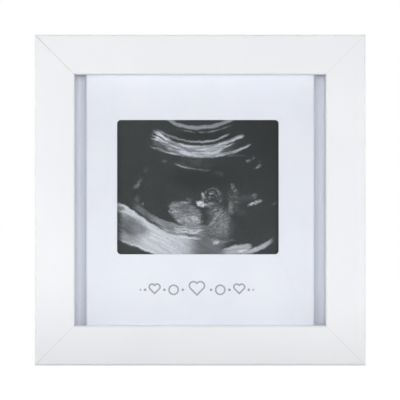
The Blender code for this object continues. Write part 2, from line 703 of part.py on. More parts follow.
def build_strut(moving_leaf):
    """The easel strut, wider at its foot, with the moving leaf riveted to its back.

    Its top is slotted round the hinge, and the horns beside the slot meet the panel at the stop angle.
    """
    to_panel, to_strut = HINGE_DEPTH - PANEL_BACK, HINGE_DEPTH - STRUT_FRONT
    horn = (to_panel - to_strut * math.cos(STRUT_STOP_ANGLE)) / math.sin(STRUT_STOP_ANGLE)
    top = HINGE_HEIGHT + horn
    slot = HINGE_HEIGHT - KNUCKLE_RADIUS - CONTACT_GAP
    slot_side = HINGE_WIDTH / 2 + CONTACT_GAP + PIN_HEAD_LENGTH + STRUT_SLOT_CLEARANCE
    left = [
        ((-slot_side, slot), 0),
        ((-slot_side, top), 0),
        ((-STRUT_TOP_WIDTH / 2, top), STRUT_CORNER_RADIUS / 2),
        ((-STRUT_FOOT_WIDTH / 2, STRUT_FOOT_HEIGHT), STRUT_CORNER_RADIUS),
    ]
    right = [((-x, height), radius) for (x, height), radius in reversed(left)]
    mesh = sheet_mesh("easel_strut", [rounded(left + right)], STRUT_THICKNESS)
    strut = add("easel_strut", mesh, spot(0, (STRUT_FRONT + STRUT_BACK) / 2, 0) @ UPRIGHT, FIBREBOARD)
    moving = [moving_leaf, strut]
    for side, sign in (("left", -1), ("right", 1)):
        x = sign * RIVET_SPACING / 2
        z = HINGE_HEIGHT - RIVET_FROM_AXIS
        rivet_hole(strut, f"strut_hole_{side}", x, z, STRUT_FRONT, STRUT_BACK)
        drill(moving_leaf, f"moving_leaf_hole_{side}", x, z, MOVING_LEAF_FRONT, MOVING_LEAF_BACK)
        moving.append(build_rivet(f"hinge_rivet_strut_{side}", x, z, MOVING_LEAF_BACK, STRUT_FRONT))
    hang_on(joint_empty("strut_axis", spot(0, HINGE_DEPTH, HINGE_HEIGHT)), *moving)


def build_hanger():
    """A strap on the panel whose curl carries the bar of a wire triangle, hanging at rest."""
    axis = spot(0, HANGER_DEPTH, HANGER_HEIGHT)
    outline = curled_outline(CURL_RADIUS, STRAP_THICKNESS, STRAP_LENGTH, -1, -1)
    strap = add("hanger_strap", sheet_mesh("hanger_strap", [outline], STRAP_WIDTH), axis @ SECTION, ZINC)
    # The strap's free end is cut round
    half, above = STRAP_WIDTH / 2 + CUT_EXTRA, CURL_RADIUS + CUT_EXTRA
    end = rounded(
        [
            ((-half, above), 0),
            ((-half, -STRAP_LENGTH), STRAP_WIDTH / 2),
            ((half, -STRAP_LENGTH), STRAP_WIDTH / 2),
            ((half, above), 0),
        ]
    )
    end_mesh = sheet_mesh("strap_end", [end], 4 * CURL_RADIUS)
    combine(strap, cutter("strap_end", end_mesh, axis @ UPRIGHT), "INTERSECT")
    rivet_z = HANGER_HEIGHT - STRAP_RIVET_DROP
    strap_back = STRAP_FRONT + STRAP_THICKNESS
    drill(strap, "strap_hole", 0, rivet_z, STRAP_FRONT, strap_back)
    build_rivet("hanger_rivet", 0, rivet_z, strap_back, PANEL_FRONT)

    curve = bpy.data.curves.new("hanger_ring", "CURVE")
    curve.dimensions = "3D"
    curve.bevel_depth = WIRE_RADIUS
    curve.bevel_resolution = 2
    half, radius = TRIANGLE_WIDTH / 2, TRIANGLE_CORNER_RADIUS
    corners = rounded([((-half, 0), radius), ((0, -TRIANGLE_HEIGHT), radius), ((half, 0), radius)])
    spline = curve.splines.new("POLY")
    spline.points.add(len(corners) - 1)
    for point, (x, height) in zip(spline.points, corners):
        point.co = (x, height, 0, 1)
    spline.use_cyclic_u = True
    ring = add("hanger_ring", mesh_of_curve("hanger_ring", curve), axis @ UPRIGHT, ZINC)
    hang_on(joint_empty("hanger_axis", axis), ring)


rails_by_side = {side: build_rail(side) for side in SIDE_TURNS}
build_corner_nails(rails_by_side)
build_glass()
build_spacers()
build_window_card()
build_print()
build_back()
build_turn_buttons(rails_by_side)
build_strut(build_hinge())
build_hanger()
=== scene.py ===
# %% [markdown]
# # Dressing a keepsake frame for an ultrasound print
# The frame's solids come from a CAD file, with every joint in its place. They are exact but plain:
# each face is flat and has one colour. In this lesson each visible piece gets a finely shaped twin
# and a finish built from nodes, and the whole is lit and seen as in a product photograph.
# The first thing to do is to load the solids, because every new piece is placed by them.

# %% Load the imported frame
import math

import bmesh
import bpy
from mathutils import Matrix, Vector


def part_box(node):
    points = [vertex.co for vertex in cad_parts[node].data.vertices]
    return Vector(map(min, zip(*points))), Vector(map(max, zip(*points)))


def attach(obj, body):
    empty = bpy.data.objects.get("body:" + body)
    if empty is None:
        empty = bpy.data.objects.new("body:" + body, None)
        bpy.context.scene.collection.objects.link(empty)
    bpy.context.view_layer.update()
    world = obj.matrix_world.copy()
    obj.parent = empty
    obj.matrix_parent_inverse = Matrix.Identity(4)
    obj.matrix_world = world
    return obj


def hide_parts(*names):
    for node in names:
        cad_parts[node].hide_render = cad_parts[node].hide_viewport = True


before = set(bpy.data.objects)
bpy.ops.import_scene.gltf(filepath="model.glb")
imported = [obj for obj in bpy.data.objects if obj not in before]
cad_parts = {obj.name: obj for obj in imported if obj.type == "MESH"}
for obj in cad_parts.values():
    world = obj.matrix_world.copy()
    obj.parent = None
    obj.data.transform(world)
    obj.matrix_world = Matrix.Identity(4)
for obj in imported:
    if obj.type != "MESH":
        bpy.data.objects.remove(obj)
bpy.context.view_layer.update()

# %% [markdown]
# ## A bench to work on
# Blender works in metres, but a frame maker thinks in millimetres and counts depth from the front.
# So each piece is shaped on a bench of its own: X to the right, Y the depth behind the front face,
# Z up, all in millimetres. One matrix takes a finished piece from the bench into the frame.
# The place stays in the mesh and the object stays at the origin, as the solids do.

# %% The bench's matrix and its sizes
MM = 0.001
FRONT_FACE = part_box("rail_left")[0].y
BENCH = Matrix.Translation((0, FRONT_FACE, 0)) @ Matrix.Diagonal((MM, MM, MM, 1))


def bench_box(node):
    """The lowest and highest corner of a solid, on the bench."""
    return [BENCH.inverted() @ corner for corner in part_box(node)]


FRAME_WIDTH = 2 * bench_box("rail_right")[1].x
FRAME_HEIGHT = bench_box("rail_top")[1].z
RAIL_DEPTH = bench_box("rail_left")[1].y
MIDDLE_HEIGHT = FRAME_HEIGHT / 2
print(f"outer size {FRAME_WIDTH:.1f} x {FRAME_HEIGHT:.1f} mm, {RAIL_DEPTH:.1f} mm deep")

# %% [markdown]
# ## Handing a piece over
# Every piece ends the same way. Its doubled points are welded, its shading is set, it is moved into
# the frame, and it is hung on the body that carries it, so that it moves when a joint does.
# Shading needs care: a large flat face next to a narrow rounded edge looks dented when both share
# smooth normals, so large faces stay flat and only the small faces of rounds are smooth.

# %% Helpers that shape a piece and settle it in the frame
POINT, EDGE = bmesh.types.BMVert, bmesh.types.BMEdge
WELD = 0.0005


def settle(shape, name, finishes, nodes=(), body="frame", flat_above=12.0, crease=40):
    """Welds a bench shape, shades it, and hands it over as a piece that stands for its solids."""
    bmesh.ops.remove_doubles(shape, verts=shape.verts, dist=WELD)
    small = [face.calc_area() < flat_above for face in shape.faces]
    open_edges = sum(not edge.is_manifold for edge in shape.edges)
    shape.transform(BENCH)
    mesh = bpy.data.meshes.new(name)
    shape.to_mesh(mesh)
    shape.free()
    for finish in finishes:
        mesh.materials.append(finish)
    mesh.set_sharp_from_angle(angle=math.radians(crease))
    mesh.polygons.foreach_set("use_smooth", small)
    piece = bpy.data.objects.new(name, mesh)
    bpy.context.scene.collection.objects.link(piece)
    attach(piece, body)
    if nodes:
        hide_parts(*nodes)
    print(f"{name}: {len(mesh.polygons)} faces, {open_edges} open edges")


def parts_of(geometry, kind):
    """The points or edges among what an operator gives back."""
    return [part for part in geometry if isinstance(part, kind)]


def thicken(shape, faces, along):
    """Pulls faces out into a solid that is closed at both ends."""
    pulled = bmesh.ops.extrude_face_region(shape, geom=faces, use_keep_orig=True)["geom"]
    bmesh.ops.translate(shape, verts=parts_of(pulled, POINT), vec=along)
    bmesh.ops.recalc_face_normals(shape, faces=shape.faces)


def round_over(shape, geometry, width, segments=2, affect="EDGES"):
    """Rounds edges by a small width, as sanding does, or the corner points of a flat outline."""
    bmesh.ops.bevel(
        shape, geom=geometry, offset=width, offset_type="OFFSET", affect=affect,
        segments=segments, profile=0.5, material=-1, clamp_overlap=affect == "EDGES",
    )


def sharp_edges(shape, degrees):
    """The edges where two faces meet at more than an angle."""
    limit = math.radians(degrees)
    return [edge for edge in shape.edges if edge.is_manifold and edge.calc_face_angle() > limit]


# %% [markdown]
# ## Writing finishes as expressions
# A finish is a small recipe of nodes. Laying nodes out by hand takes many lines, so a socket is
# wrapped in a class whose arithmetic adds Math nodes: `1 - mask` is then a Subtract node.
# Every other node comes from one method, which sets the node's choices first and its sockets next,
# because some choices, such as a Mix node's data type, change which sockets there are.
# Colours are written as they are read off a screen, and are turned into light for the shaders.

# %% The two classes that build node trees
def light_of(value):
    """One channel of a colour read off a screen, 0 to 255, as the light that a shader takes."""
    share = value / 255
    return share / 12.92 if share <= 0.04045 else ((share + 0.055) / 1.055) ** 2.4


def shade(red, green, blue):
    return (light_of(red), light_of(green), light_of(blue), 1)


def both_ways(operation):
    """Two methods that add a Math node, one with the strand first and one with it second."""
    return (
        lambda strand, other: strand.maths(operation, strand, other),
        lambda strand, other: strand.maths(operation, other, strand),
    )


class Strand:
    """One value that runs through a recipe. Arithmetic on it adds Math nodes."""

    __add__, __radd__ = both_ways("ADD")
    __sub__, __rsub__ = both_ways("SUBTRACT")
    __mul__, __rmul__ = both_ways("MULTIPLY")
    __truediv__, __rtruediv__ = both_ways("DIVIDE")
    __pow__, __rpow__ = both_ways("POWER")

    def __init__(self, recipe, socket):
        self.recipe, self.socket = recipe, socket

    def maths(self, operation, *values):
        return self.recipe.node("Math", {"operation": operation}, dict(enumerate(values)))

    def out(self, name):
        """Another output of the same node."""
        return Strand(self.recipe, self.socket.node.outputs[name])

    def __abs__(self):
        return self.maths("ABSOLUTE", self)


class Recipe:
    """The node tree of a material or a world, put together step by step."""

    def __init__(self, owner):
        owner.use_nodes = True
        self.owner, self.tree = owner, owner.node_tree
        self.tree.nodes.clear()

    def node(self, kind, settings=None, sockets=None, take=0):
        """Adds a node, sets it up, and gives back the output that is taken from it."""
        made = self.tree.nodes.new("ShaderNode" + kind)
        for setting, choice in (settings or {}).items():
            if setting == "stops":
                ramp = made.color_ramp.elements
                while len(ramp) < len(choice):
                    ramp.new(0.5)
                for element, (position, colour) in zip(ramp, choice):
                    element.position, element.color = position, (*colour, 1)
            else:
                setattr(made, setting, choice)
        for socket, value in (sockets or {}).items():
            if isinstance(value, Strand):
                self.tree.links.new(value.socket, made.inputs[socket])
            else:
                made.inputs[socket].default_value = value
        return Strand(self, made.outputs[take])

    def place(self):
        return self.node("TexCoord", take="Object")

    def grain(self, size, stretch=(1, 1, 1), detail=2.0, roughness=0.5, shift=0.0, turn=(0, 0, 0)):
        """Noise whose lumps are about size millimetres across, drawn out by stretch."""
        scale = [1 / (MM * size * along) for along in stretch]
        moved = {"Location": (shift, shift, shift), "Rotation": turn, "Scale": scale}
        spread = self.node("Mapping", sockets={"Vector": self.place(), **moved})
        return self.noise(spread, detail, roughness)

    def noise(self, vector, detail, roughness):
        sockets = {"Vector": vector, "Scale": 1.0, "Detail": detail, "Roughness": roughness}
        return self.node("TexNoise", sockets=sockets)

    def rise(self, value, low, high, bottom=0.0, top=1.0):
        """Runs softly from bottom to top while the value goes from low to high."""
        span = {"From Min": low, "From Max": high, "To Min": bottom, "To Max": top}
        smooth = {"interpolation_type": "SMOOTHSTEP"}
        return self.node("MapRange", smooth, {"Value": value, **span})

    def fall(self, value, low, high):
        """Runs softly from 1 to 0 while the value goes from low to high."""
        return self.rise(value, low, high, 1.0, 0.0)

    def mix(self, factor, first, second):
        """Blends two colours."""
        return self.node("Mix", {"data_type": "RGBA"}, {0: factor, 6: first, 7: second}, 2)

    def tint(self, noise, dark, light, low=0.3, high=0.7):
        """Clouds one colour into another as a noise rises from low to high."""
        return self.mix(self.rise(noise, low, high), shade(*dark), shade(*light))

    def bump(self, height, depth, strength):
        """Turns a height between 0 and 1 into relief of a depth in millimetres."""
        sockets = {"Height": height, "Distance": depth * MM, "Strength": strength}
        return self.node("Bump", sockets=sockets)

    def mix_shader(self, factor, first, second):
        return self.node("MixShader", sockets={0: factor, 1: first, 2: second})

    def cover(self, surface, owner_kind="Material"):
        """Ends the recipe, and gives back the material or world it was written for."""
        end = self.tree.nodes.new("ShaderNodeOutput" + owner_kind)
        self.tree.links.new(surface.socket, end.inputs["Surface"])
        print(f"{self.owner.name}: {len(self.tree.nodes)} nodes")
        return self.owner

    def finish(self, colour, roughness, relief=None, **more):
        """Ends a material with the all-round shader."""
        sockets = {"Base Color": colour, "Roughness": roughness, **more}
        if relief:
            sockets["Normal"] = relief
        return self.cover(self.node("BsdfPrincipled", sockets=sockets))


def new_finish(name):
    return Recipe(bpy.data.materials.new(name))


def grained(name, dark, light, roughness, relief, size, **grain):
    """A whole simple finish: one noise clouds its colour and raises its surface."""
    recipe = new_finish(name)
    noise = recipe.grain(size, **grain)
    return recipe.finish(recipe.tint(noise, dark, light), roughness, recipe.bump(noise, *relief))


print("a mid grey of 188 is", round(light_of(188), 3), "of full light")

# %% [markdown]
# ## Camera
# The photograph is taken squarely from the front, from about 1.2 m away. A long lens keeps the
# rails parallel. Its length follows from how much of the frame's front plane fills the picture:
# 400 pixels of 0.604 mm each.

# %% Set up the camera
CAMERA_DISTANCE = 1.2
PIXELS, PIXEL_SIZE = 400, 0.604 * MM
SHIFT_RIGHT, SHIFT_UP = -0.2, 0.1
SENSOR = 36.0
lens = bpy.data.cameras.new("product_lens")
lens.sensor_width = SENSOR
lens.lens = SENSOR * CAMERA_DISTANCE / (PIXELS * PIXEL_SIZE)
lens.shift_x, lens.shift_y = SHIFT_RIGHT / PIXELS, SHIFT_UP / PIXELS
camera = bpy.data.objects.new("camera", lens)
camera.location = (0, FRONT_FACE - CAMERA_DISTANCE, MIDDLE_HEIGHT * MM)
camera.rotation_euler = (math.radians(90), 0, 0)
bpy.context.scene.collection.objects.link(camera)
bpy.context.scene.camera = camera
bpy.context.scene.view_settings.view_transform = "Standard"
print(f"lens of {lens.lens:.0f} mm")

# %% [markdown]
# ## Lamps
# White things need soft, even light, or their edges vanish. The two channels beside the card are
# deep and narrow, so only light from close to the lens reaches their floor. So one softbox hangs
# right at the lens, where a photographer's ring light would be, and two weak ones stand near the
# frame's sides. Pane and print would mirror them, so they are hidden from reflections, as a
# photographer hides them with a polariser. A colour comes out about as it was written.

# %% Hang the softboxes
def softbox(name, at, size, watts):
    lamp = bpy.data.lights.new(name, "AREA")
    lamp.shape, lamp.size, lamp.size_y, lamp.energy = "RECTANGLE", size[0], size[1], watts
    holder = bpy.data.objects.new(name, lamp)
    holder.location = at
    aim = Vector((0, 0, MIDDLE_HEIGHT * MM)) - Vector(at)
    holder.rotation_euler = aim.to_track_quat("-Z", "Y").to_euler()
    holder.visible_camera = holder.visible_glossy = False
    bpy.context.scene.collection.objects.link(holder)
    print(f"{name}: {watts} W at {aim.length:.2f} m")


softbox("front_softbox", (0.0, -1.15, 0.16), (0.24, 0.16), 4.55)
softbox("left_fill", (-0.28, -0.22, 0.13), (0.10, 0.16), 0.09)
softbox("right_fill", (0.28, -0.22, 0.13), (0.10, 0.16), 0.06)

# %% [markdown]
# ## Air and floor
# The photograph's background is pure white. The world shows plain white to the camera and in
# reflections, but what it sheds on the frame is another matter: light from behind, for the sides
# and the back, a little more from straight left and right, which brightens the outer edges, and
# ahead one small strong patch with darkness about it.
# The only dark thing near a studio table is the room behind the camera, and a mirror-flat pane
# would show it, so reflections find a dark patch there. The floor is white as well and adds some
# light of its own for the camera, yet it still darkens a little where the frame shades it. To the
# frame itself it is greyer, so the lower edge keeps its thin dark line.

# %% Fill the world and lay the floor
def looking_rays(recipe):
    """Which rays look at a thing, straight, mirrored or through glass, and which are mirrored."""
    direct = recipe.node("LightPath", take="Is Camera Ray")
    mirrored = direct.out("Is Glossy Ray")
    looking = direct.maths("MAXIMUM", direct, mirrored)
    return direct.maths("MAXIMUM", looking, direct.out("Is Transmission Ray")), mirrored


def backdrop(colour, strength):
    return air.node("Background", sockets={"Color": (*colour, 1), "Strength": strength})


AROUND, AHEAD, SIDE_STRIPS = 0.75, 7.7, 1.35
ROOM_DARKNESS = 0.85
air = Recipe(bpy.data.worlds.new("white_studio"))
looking, mirrored = looking_rays(air)
direction = air.node("TexCoord", take="Generated")
away = air.node("SeparateXYZ", sockets={0: direction}, take="Y")
towards = 0 - away
white = backdrop((1, 1, 1), 1 - ROOM_DARKNESS * (air.rise(towards, 0.94, 0.985) * mirrored))
level = air.rise(away, -0.45, -0.15, 0.0, AROUND) + air.rise(towards, 0.955, 1.0, 0.0, AHEAD)
level += air.rise(abs(away.out("X")), 0.75, 0.95, 0.0, SIDE_STRIPS)
soft = backdrop((0.985, 0.99, 1.0), level)
bpy.context.scene.world = air.cover(air.mix_shader(looking, soft, white), "World")

FLOOR_GREY, GLOW, GLOW_SHARE = 0.65, 1.20, 0.75
table = new_finish("white_table")
grey = (FLOOR_GREY, FLOOR_GREY, FLOOR_GREY, 1)
matt = table.node("BsdfDiffuse", sockets={"Color": grey})
glow = table.node("Emission", sockets={"Color": (1, 1, 1, 1), "Strength": GLOW})
white_table = table.cover(table.mix_shader(looking_rays(table)[0] * GLOW_SHARE, matt, glow))

TABLE_FRONT, TABLE_REACH = -0.26, 3.0
shape = bmesh.new()
middle = Matrix.Translation((0, TABLE_FRONT + TABLE_REACH, 0))
bmesh.ops.create_grid(shape, x_segments=8, y_segments=8, size=TABLE_REACH, matrix=middle)
mesh = bpy.data.meshes.new("floor")
shape.to_mesh(mesh)
shape.free()
mesh.materials.append(white_table)
floor = bpy.data.objects.new("floor", mesh)
bpy.context.scene.collection.objects.link(floor)
print("floor laid at the height of the frame's underside")

# %% [markdown]
# ## White foil over fibreboard
# The rails aren't painted. They are milled from fibreboard and wrapped in white foil, which leaves
# a satin skin: nearly flat, with a faint orange peel that shows only where light grazes it.
# The foil runs on into the rebate, where it whitens the channels' ends, and a few millimetres over
# the back edge. Behind that the brown board is bare.
# Bare board is mottled, because it is pressed from fibres of many shades.

# %% Mix the foil and the bare board
foil = new_finish("white_foil")
peel = foil.grain(0.9, detail=2.0, roughness=0.55)
specks = foil.grain(0.25, detail=1.0, shift=3.0)
tone = foil.tint(foil.grain(60, detail=1.0), (236, 237, 240), (239, 240, 242))
rubbed = foil.rise(foil.grain(14, detail=4.0, shift=7.0), 0.25, 0.75, 0.36, 0.47)
white_foil = foil.finish(tone, rubbed, foil.bump(peel * 0.8 + specks * 0.2, 0.012, 0.6), IOR=1.46)

board = new_finish("bare_fibreboard")
fibres = board.grain(0.5, stretch=(1.6, 1.0, 1.6), detail=5.0, roughness=0.7)
flakes = board.grain(3.5, detail=3.0, shift=4.0)
dark = board.rise(board.grain(0.8, detail=2.0, shift=9.0), 0.62, 0.75)
tone = board.tint(fibres, (150, 116, 82), (186, 150, 110))
tone = board.mix(board.rise(flakes, 0.35, 0.7) * 0.5, tone, shade(140, 104, 72))
tone = board.mix(dark * 0.6, tone, shade(96, 66, 44))
bare_board = board.finish(tone, 0.85, board.bump(fibres, 0.08, 0.7))

# %% [markdown]
# ## Rails
# A real rail is one long moulding that is sawn at 45 degrees at both ends. The model is made in the
# same order. A few points give the section, its corners are rounded, the section is pulled out to
# the rail's length, and two planes saw the mitres. Sawing is better than building the slanted ends
# directly, because every line of the section then runs into the mitre at the right place.
# The foil breaks a little at the saw cut, so the rim of each cut is rounded, and that tiny groove
# is what draws the faint diagonal line in each corner. A saw is never quite at 45 degrees either:
# the wider a joint gapes at its outer corner, the more the blade has slipped, and the joint closes
# towards the inside.

# %% Give the moulding its section
RAIL_FACE, REBATE_WALL, LIP = 24.0, 18.0, 5.0
FOIL_TURN, FOIL = 3.2, 0.12
SPARE = 1
SECTION = [
    ((0, 0), 1.5),
    ((RAIL_FACE, 0), 1.6),
    ((RAIL_FACE, LIP), 0.4),
    ((REBATE_WALL, LIP), 0),
    ((REBATE_WALL, RAIL_DEPTH - FOIL), 0.3),
    ((FOIL_TURN, RAIL_DEPTH - FOIL), 0),
    ((FOIL_TURN, RAIL_DEPTH), 0.06),
    ((0, RAIL_DEPTH), 0.4),
]


def moulding(length):
    """A straight moulding along Z, with some to spare at each end of the rail."""
    shape = bmesh.new()
    corners = [shape.verts.new((across, deep, -SPARE)) for (across, deep), _ in SECTION]
    shape.faces.new(corners)
    for corner, (_, radius) in zip(corners, SECTION):
        if radius:
            round_over(shape, [corner], radius, 6, "VERTICES")
    thicken(shape, shape.faces[:], (0, 0, length + 2 * SPARE))
    return shape


def saw(shape, point, direction):
    """Cuts off what lies beyond a plane and closes the cut."""
    everything = shape.verts[:] + shape.edges[:] + shape.faces[:]
    cut = bmesh.ops.bisect_plane(
        shape, geom=everything, plane_co=point, plane_no=direction, clear_outer=True
    )
    return bmesh.ops.edgeloop_fill(shape, edges=parts_of(cut["geom_cut"], EDGE))["faces"]


trial = moulding(100)
print("moulding section:", len(trial.faces) - 2, "faces round")
trial.free()

# %% [markdown]
# The four rails are the same moulding, turned a quarter each, clockwise from the left one. Each
# mitre has its own gap, half of it taken from either rail.

# %% Saw and place the four rails
SIDE_TURNS = {"left": 0, "top": 90, "right": 180, "bottom": -90}
GAP_AFTER = {"left": 0.28, "top": 0.08, "right": 0.07, "bottom": 0.12}
SAW_SLIP = 0.035
BROKEN_RIM = 0.07


def is_bare(face):
    """Whether a face of the moulding is the board at the back, which the foil doesn't cover."""
    middle = face.calc_center_median()
    return middle.y > RAIL_DEPTH - FOIL - 0.2 and middle.x > FOIL_TURN + 0.05


def build_rail(side, before):
    """One rail, sawn to meet the rail before it and the one after it."""
    shape = moulding(FRAME_HEIGHT)
    start, end = GAP_AFTER[before] / 2, GAP_AFTER[side] / 2
    cuts = saw(shape, (-start * math.sqrt(2), 0, 0), (1, 0, -1 - SAW_SLIP * start))
    cuts += saw(shape, (-end * math.sqrt(2), 0, FRAME_HEIGHT), (1, 0, 1 + SAW_SLIP * end))
    round_over(shape, list({edge for face in cuts for edge in face.edges}), BROKEN_RIM)
    bmesh.ops.recalc_face_normals(shape, faces=shape.faces)
    for face in shape.faces:
        sawn = abs(face.normal.z) > 0.6 and abs(face.normal.x) > 0.6
        face.material_index = 1 if sawn or is_bare(face) else 0
    turn = Matrix.Rotation(math.radians(SIDE_TURNS[side]), 4, "Y")
    to_side = Matrix.Translation((0, 0, MIDDLE_HEIGHT)) @ turn
    shape.transform(to_side @ Matrix.Translation((-FRAME_WIDTH / 2, 0, -MIDDLE_HEIGHT)))
    finishes = [white_foil, bare_board]
    settle(shape, f"dressed_rail_{side}", finishes, [f"rail_{side}"], flat_above=60)


ORDER = list(SIDE_TURNS)
for side, before in zip(ORDER, ORDER[-1:] + ORDER):
    build_rail(side, before)

# %% [markdown]
# ## Glue in the mitres
# A mitre is never quite closed. What shows in it is a line of pale glue and filler a little below
# the surface, so the joint reads as a soft grey line and not as a black slit. Each strip is the
# rail's own L shape, pulled in from the faces, and as thick as the gap and the board it soaks into.
# The upper left joint has opened most, and its filler has sunk deepest.

# %% Fill the mitres
mitre_filler = grained(
    "mitre_filler", (205, 206, 208), (222, 223, 226), 0.8, (0.05, 0.6), size=0.4, detail=3.0
)
CORNERS = {
    "top_left": (-1, 1, 45, 0.45),
    "top_right": (1, 1, 135, 0.20),
    "bottom_right": (1, -1, 225, 0.25),
    "bottom_left": (-1, -1, -45, 0.30),
}
INSET, INSET_INSIDE, INSET_BACK, STRIP = 0.35, 0.85, 0.5, 0.3


def fill_mitre(corner, right, up, turn, sunk):
    """The filler of one corner: its X runs along the diagonal, from the outer corner inwards."""
    shape = bmesh.new()
    lip_end, wall, back = RAIL_FACE - INSET_INSIDE, REBATE_WALL - INSET, RAIL_DEPTH - INSET_BACK
    outline = [
        (INSET, sunk), (lip_end, sunk), (lip_end, LIP - INSET),
        (wall, LIP - INSET), (wall, back), (INSET, back),
    ]
    points = [(across * math.sqrt(2), deep, -STRIP / 2) for across, deep in outline]
    face = shape.faces.new([shape.verts.new(point) for point in points])
    thicken(shape, [face], (0, 0, STRIP))
    outer = Vector((right * FRAME_WIDTH / 2, 0, MIDDLE_HEIGHT + up * FRAME_HEIGHT / 2))
    shape.transform(Matrix.Translation(outer) @ Matrix.Rotation(math.radians(turn), 4, "Y"))
    settle(shape, f"mitre_filler_{corner}", [mitre_filler])


for corner, corner_facts in CORNERS.items():
    fill_mitre(corner, *corner_facts)

# %% [markdown]
# ## Glass
# Picture glass is 2 mm thick and its cut edges are ground, so that it doesn't cut a hand.
# Real glass bends light very little when it is so thin and flat, so the finish lets light straight
# through and adds a mirror image on top. How strong the mirror is depends on the angle: 3% when
# looked at squarely, nearly all of it at a grazing angle. Letting light through unbent also lets
# the lamps reach the card behind, which a bending glass would block or fill with noise.

# %% Cut the pane
pane = new_finish("picture_glass")
facing = pane.node("LayerWeight", sockets={"Blend": 0.5}, take="Facing")
mirror = 0.03 + 0.97 * facing ** 5
through = pane.node("BsdfTransparent", sockets={"Color": (0.994, 0.998, 0.996, 1)})
gleam = pane.node("BsdfGlossy", sockets={"Color": (1, 1, 1, 1), "Roughness": 0.015})
picture_glass = pane.cover(pane.mix_shader(mirror, through, gleam))
GROUND_EDGE = 0.3


def slab(low, high):
    """A plain board between two corners on the bench."""
    shape = bmesh.new()
    to_place = Matrix.Translation((low + high) / 2) @ Matrix.Diagonal((*(high - low), 1))
    bmesh.ops.create_cube(shape, size=1, matrix=to_place)
    return shape


shape = slab(*bench_box("glass_pane"))
round_over(shape, shape.edges[:], GROUND_EDGE)
settle(shape, "dressed_glass", [picture_glass], ["glass_pane"])

# %% [markdown]
# ## Card: a folded window mount
# The white mount has one window, and its left and right sides are folded back to stand it forward,
# so two shadowed channels run beside it. The finish is matt paper with a cool cast. Paper isn't
# smooth: a fine tooth of pressed fibres catches the light, and its tone clouds a little.
# The folded sides are a shade greyer and bluer than the front, as in the photograph, which paints
# part of the channels' shade into their colour. Near the crease, where the raised front shades
# them, they are darkest, a painted shade. Towards their free edges, where the lip and the spacers
# shade them, they are lighter, a painted light that evens the channels out. The core, seen where
# the window is cut, is a cleaner white.

# %% Mix the card's three finishes
PAPER_ROUGHNESS = 0.78
paper = new_finish("mount_paper")
tooth = paper.grain(0.35, detail=4.0, roughness=0.65)
tone = paper.tint(paper.grain(25, detail=2.0, shift=2.0), (242, 243, 253), (245, 246, 254))
tone = paper.mix(paper.rise(tooth, 0.35, 0.75) * 0.35, tone, shade(248, 249, 255))
mount_paper = paper.finish(tone, PAPER_ROUGHNESS, paper.bump(tooth, 0.03, 0.8))

# The sides' tone runs from a painted shade up to 71 mm from the middle to a painted light beyond
# 76.5 mm.
PAINTED_SHADE_TO, PAINTED_LIGHT_FROM = 71.0, 76.5
sides = new_finish("mount_sides")
tooth = sides.grain(0.35, detail=4.0, roughness=0.65)
# The darker tone is painted shade by the crease, and the lighter one below is painted light on the
# sides' outer part.
painted_shade_tone = sides.tint(tooth, (209, 213, 224), (213, 217, 227), 0.35, 0.75)
fresh = sides.tint(tooth, (237, 240, 248), (241, 243, 250), 0.35, 0.75)
along_x = sides.node("SeparateXYZ", sockets={0: sides.place()}, take="X")
off_middle = abs(along_x * 1000)
tone = sides.mix(sides.rise(off_middle, PAINTED_SHADE_TO, PAINTED_LIGHT_FROM), painted_shade_tone, fresh)
mount_sides = sides.finish(tone, PAPER_ROUGHNESS, sides.bump(tooth, 0.03, 0.8))

card_core = grained(
    "card_core", (228, 230, 233), (242, 243, 245), 0.9, (0.05, 0.8),
    size=0.3, stretch=(1, 0.3, 1), detail=3.0,
)

# %% [markdown]
# ### Cutting and folding the card
# The card starts as its flat front with the window cut out: two outlines, filled between.
# Then each side edge is folded as a machine would do it: turned round a crease, drawn back as a
# leg, and turned the other way into a flange. Turning an edge with spin gives a true round fold.
# Only at the end does the sheet get its thickness, so both folds keep it even.

# %% Cut, fold and thicken the card
CARD_LOW, CARD_HIGH = bench_box("window_card")
CARD_SHEET, FOLD, INNER_FOLD = 1.0, 1.3, 0.3
WINDOW_WIDTH, WINDOW_HEIGHT, WINDOW_CORNER = 98.5, 81.9, 2.3
WINDOW_X, WINDOW_Z = -1.4, MIDDLE_HEIGHT + 7.9
PANEL_HALF = 69.8
FLANGE = CARD_HIGH.y - CARD_SHEET
QUARTER = math.radians(90)


def rectangle(shape, middle, width, height, deep):
    """A flat rectangle that faces the front, as one face."""
    corners = [(-1, -1), (1, -1), (1, 1), (-1, 1)]
    points = [(middle[0] + a * width / 2, deep, middle[1] + b * height / 2) for a, b in corners]
    return shape.faces.new([shape.verts.new(point) for point in points])


def draw_out(shape, edges, along):
    """Draws edges further along a straight, and gives back where they end."""
    pulled = bmesh.ops.extrude_edge_only(shape, edges=edges)["geom"]
    fresh = parts_of(pulled, POINT)
    bmesh.ops.translate(shape, verts=fresh, vec=along)
    return [edge for edge in shape.edges if set(edge.verts) <= set(fresh)]


def bend_round(shape, edges, centre, axis, angle, steps):
    """Turns edges round a point, and gives back where they end."""
    turned = bmesh.ops.spin(
        shape, geom=edges, cent=centre, axis=axis, angle=angle, steps=steps, use_merge=False
    )
    return parts_of(turned["geom_last"], EDGE)


def fold_side(shape, side):
    """Folds one side edge of the card back into a leg and out into a flange."""
    crease_x, hollow_x = side * (PANEL_HALF - FOLD), side * (PANEL_HALF + INNER_FOLD)
    crease_y, hollow_y = CARD_LOW.y + FOLD, FLANGE - INNER_FOLD
    edges = [e for e in shape.edges if all(abs(v.co.x - crease_x) < 1e-4 for v in e.verts)]
    edges = bend_round(shape, edges, (crease_x, crease_y, 0), (0, 0, 1), side * QUARTER, 8)
    edges = draw_out(shape, edges, (0, hollow_y - crease_y, 0))
    edges = bend_round(shape, edges, (hollow_x, hollow_y, 0), (0, 0, 1), -side * QUARTER, 5)
    draw_out(shape, edges, (side * CARD_HIGH.x - hollow_x, 0, 0))


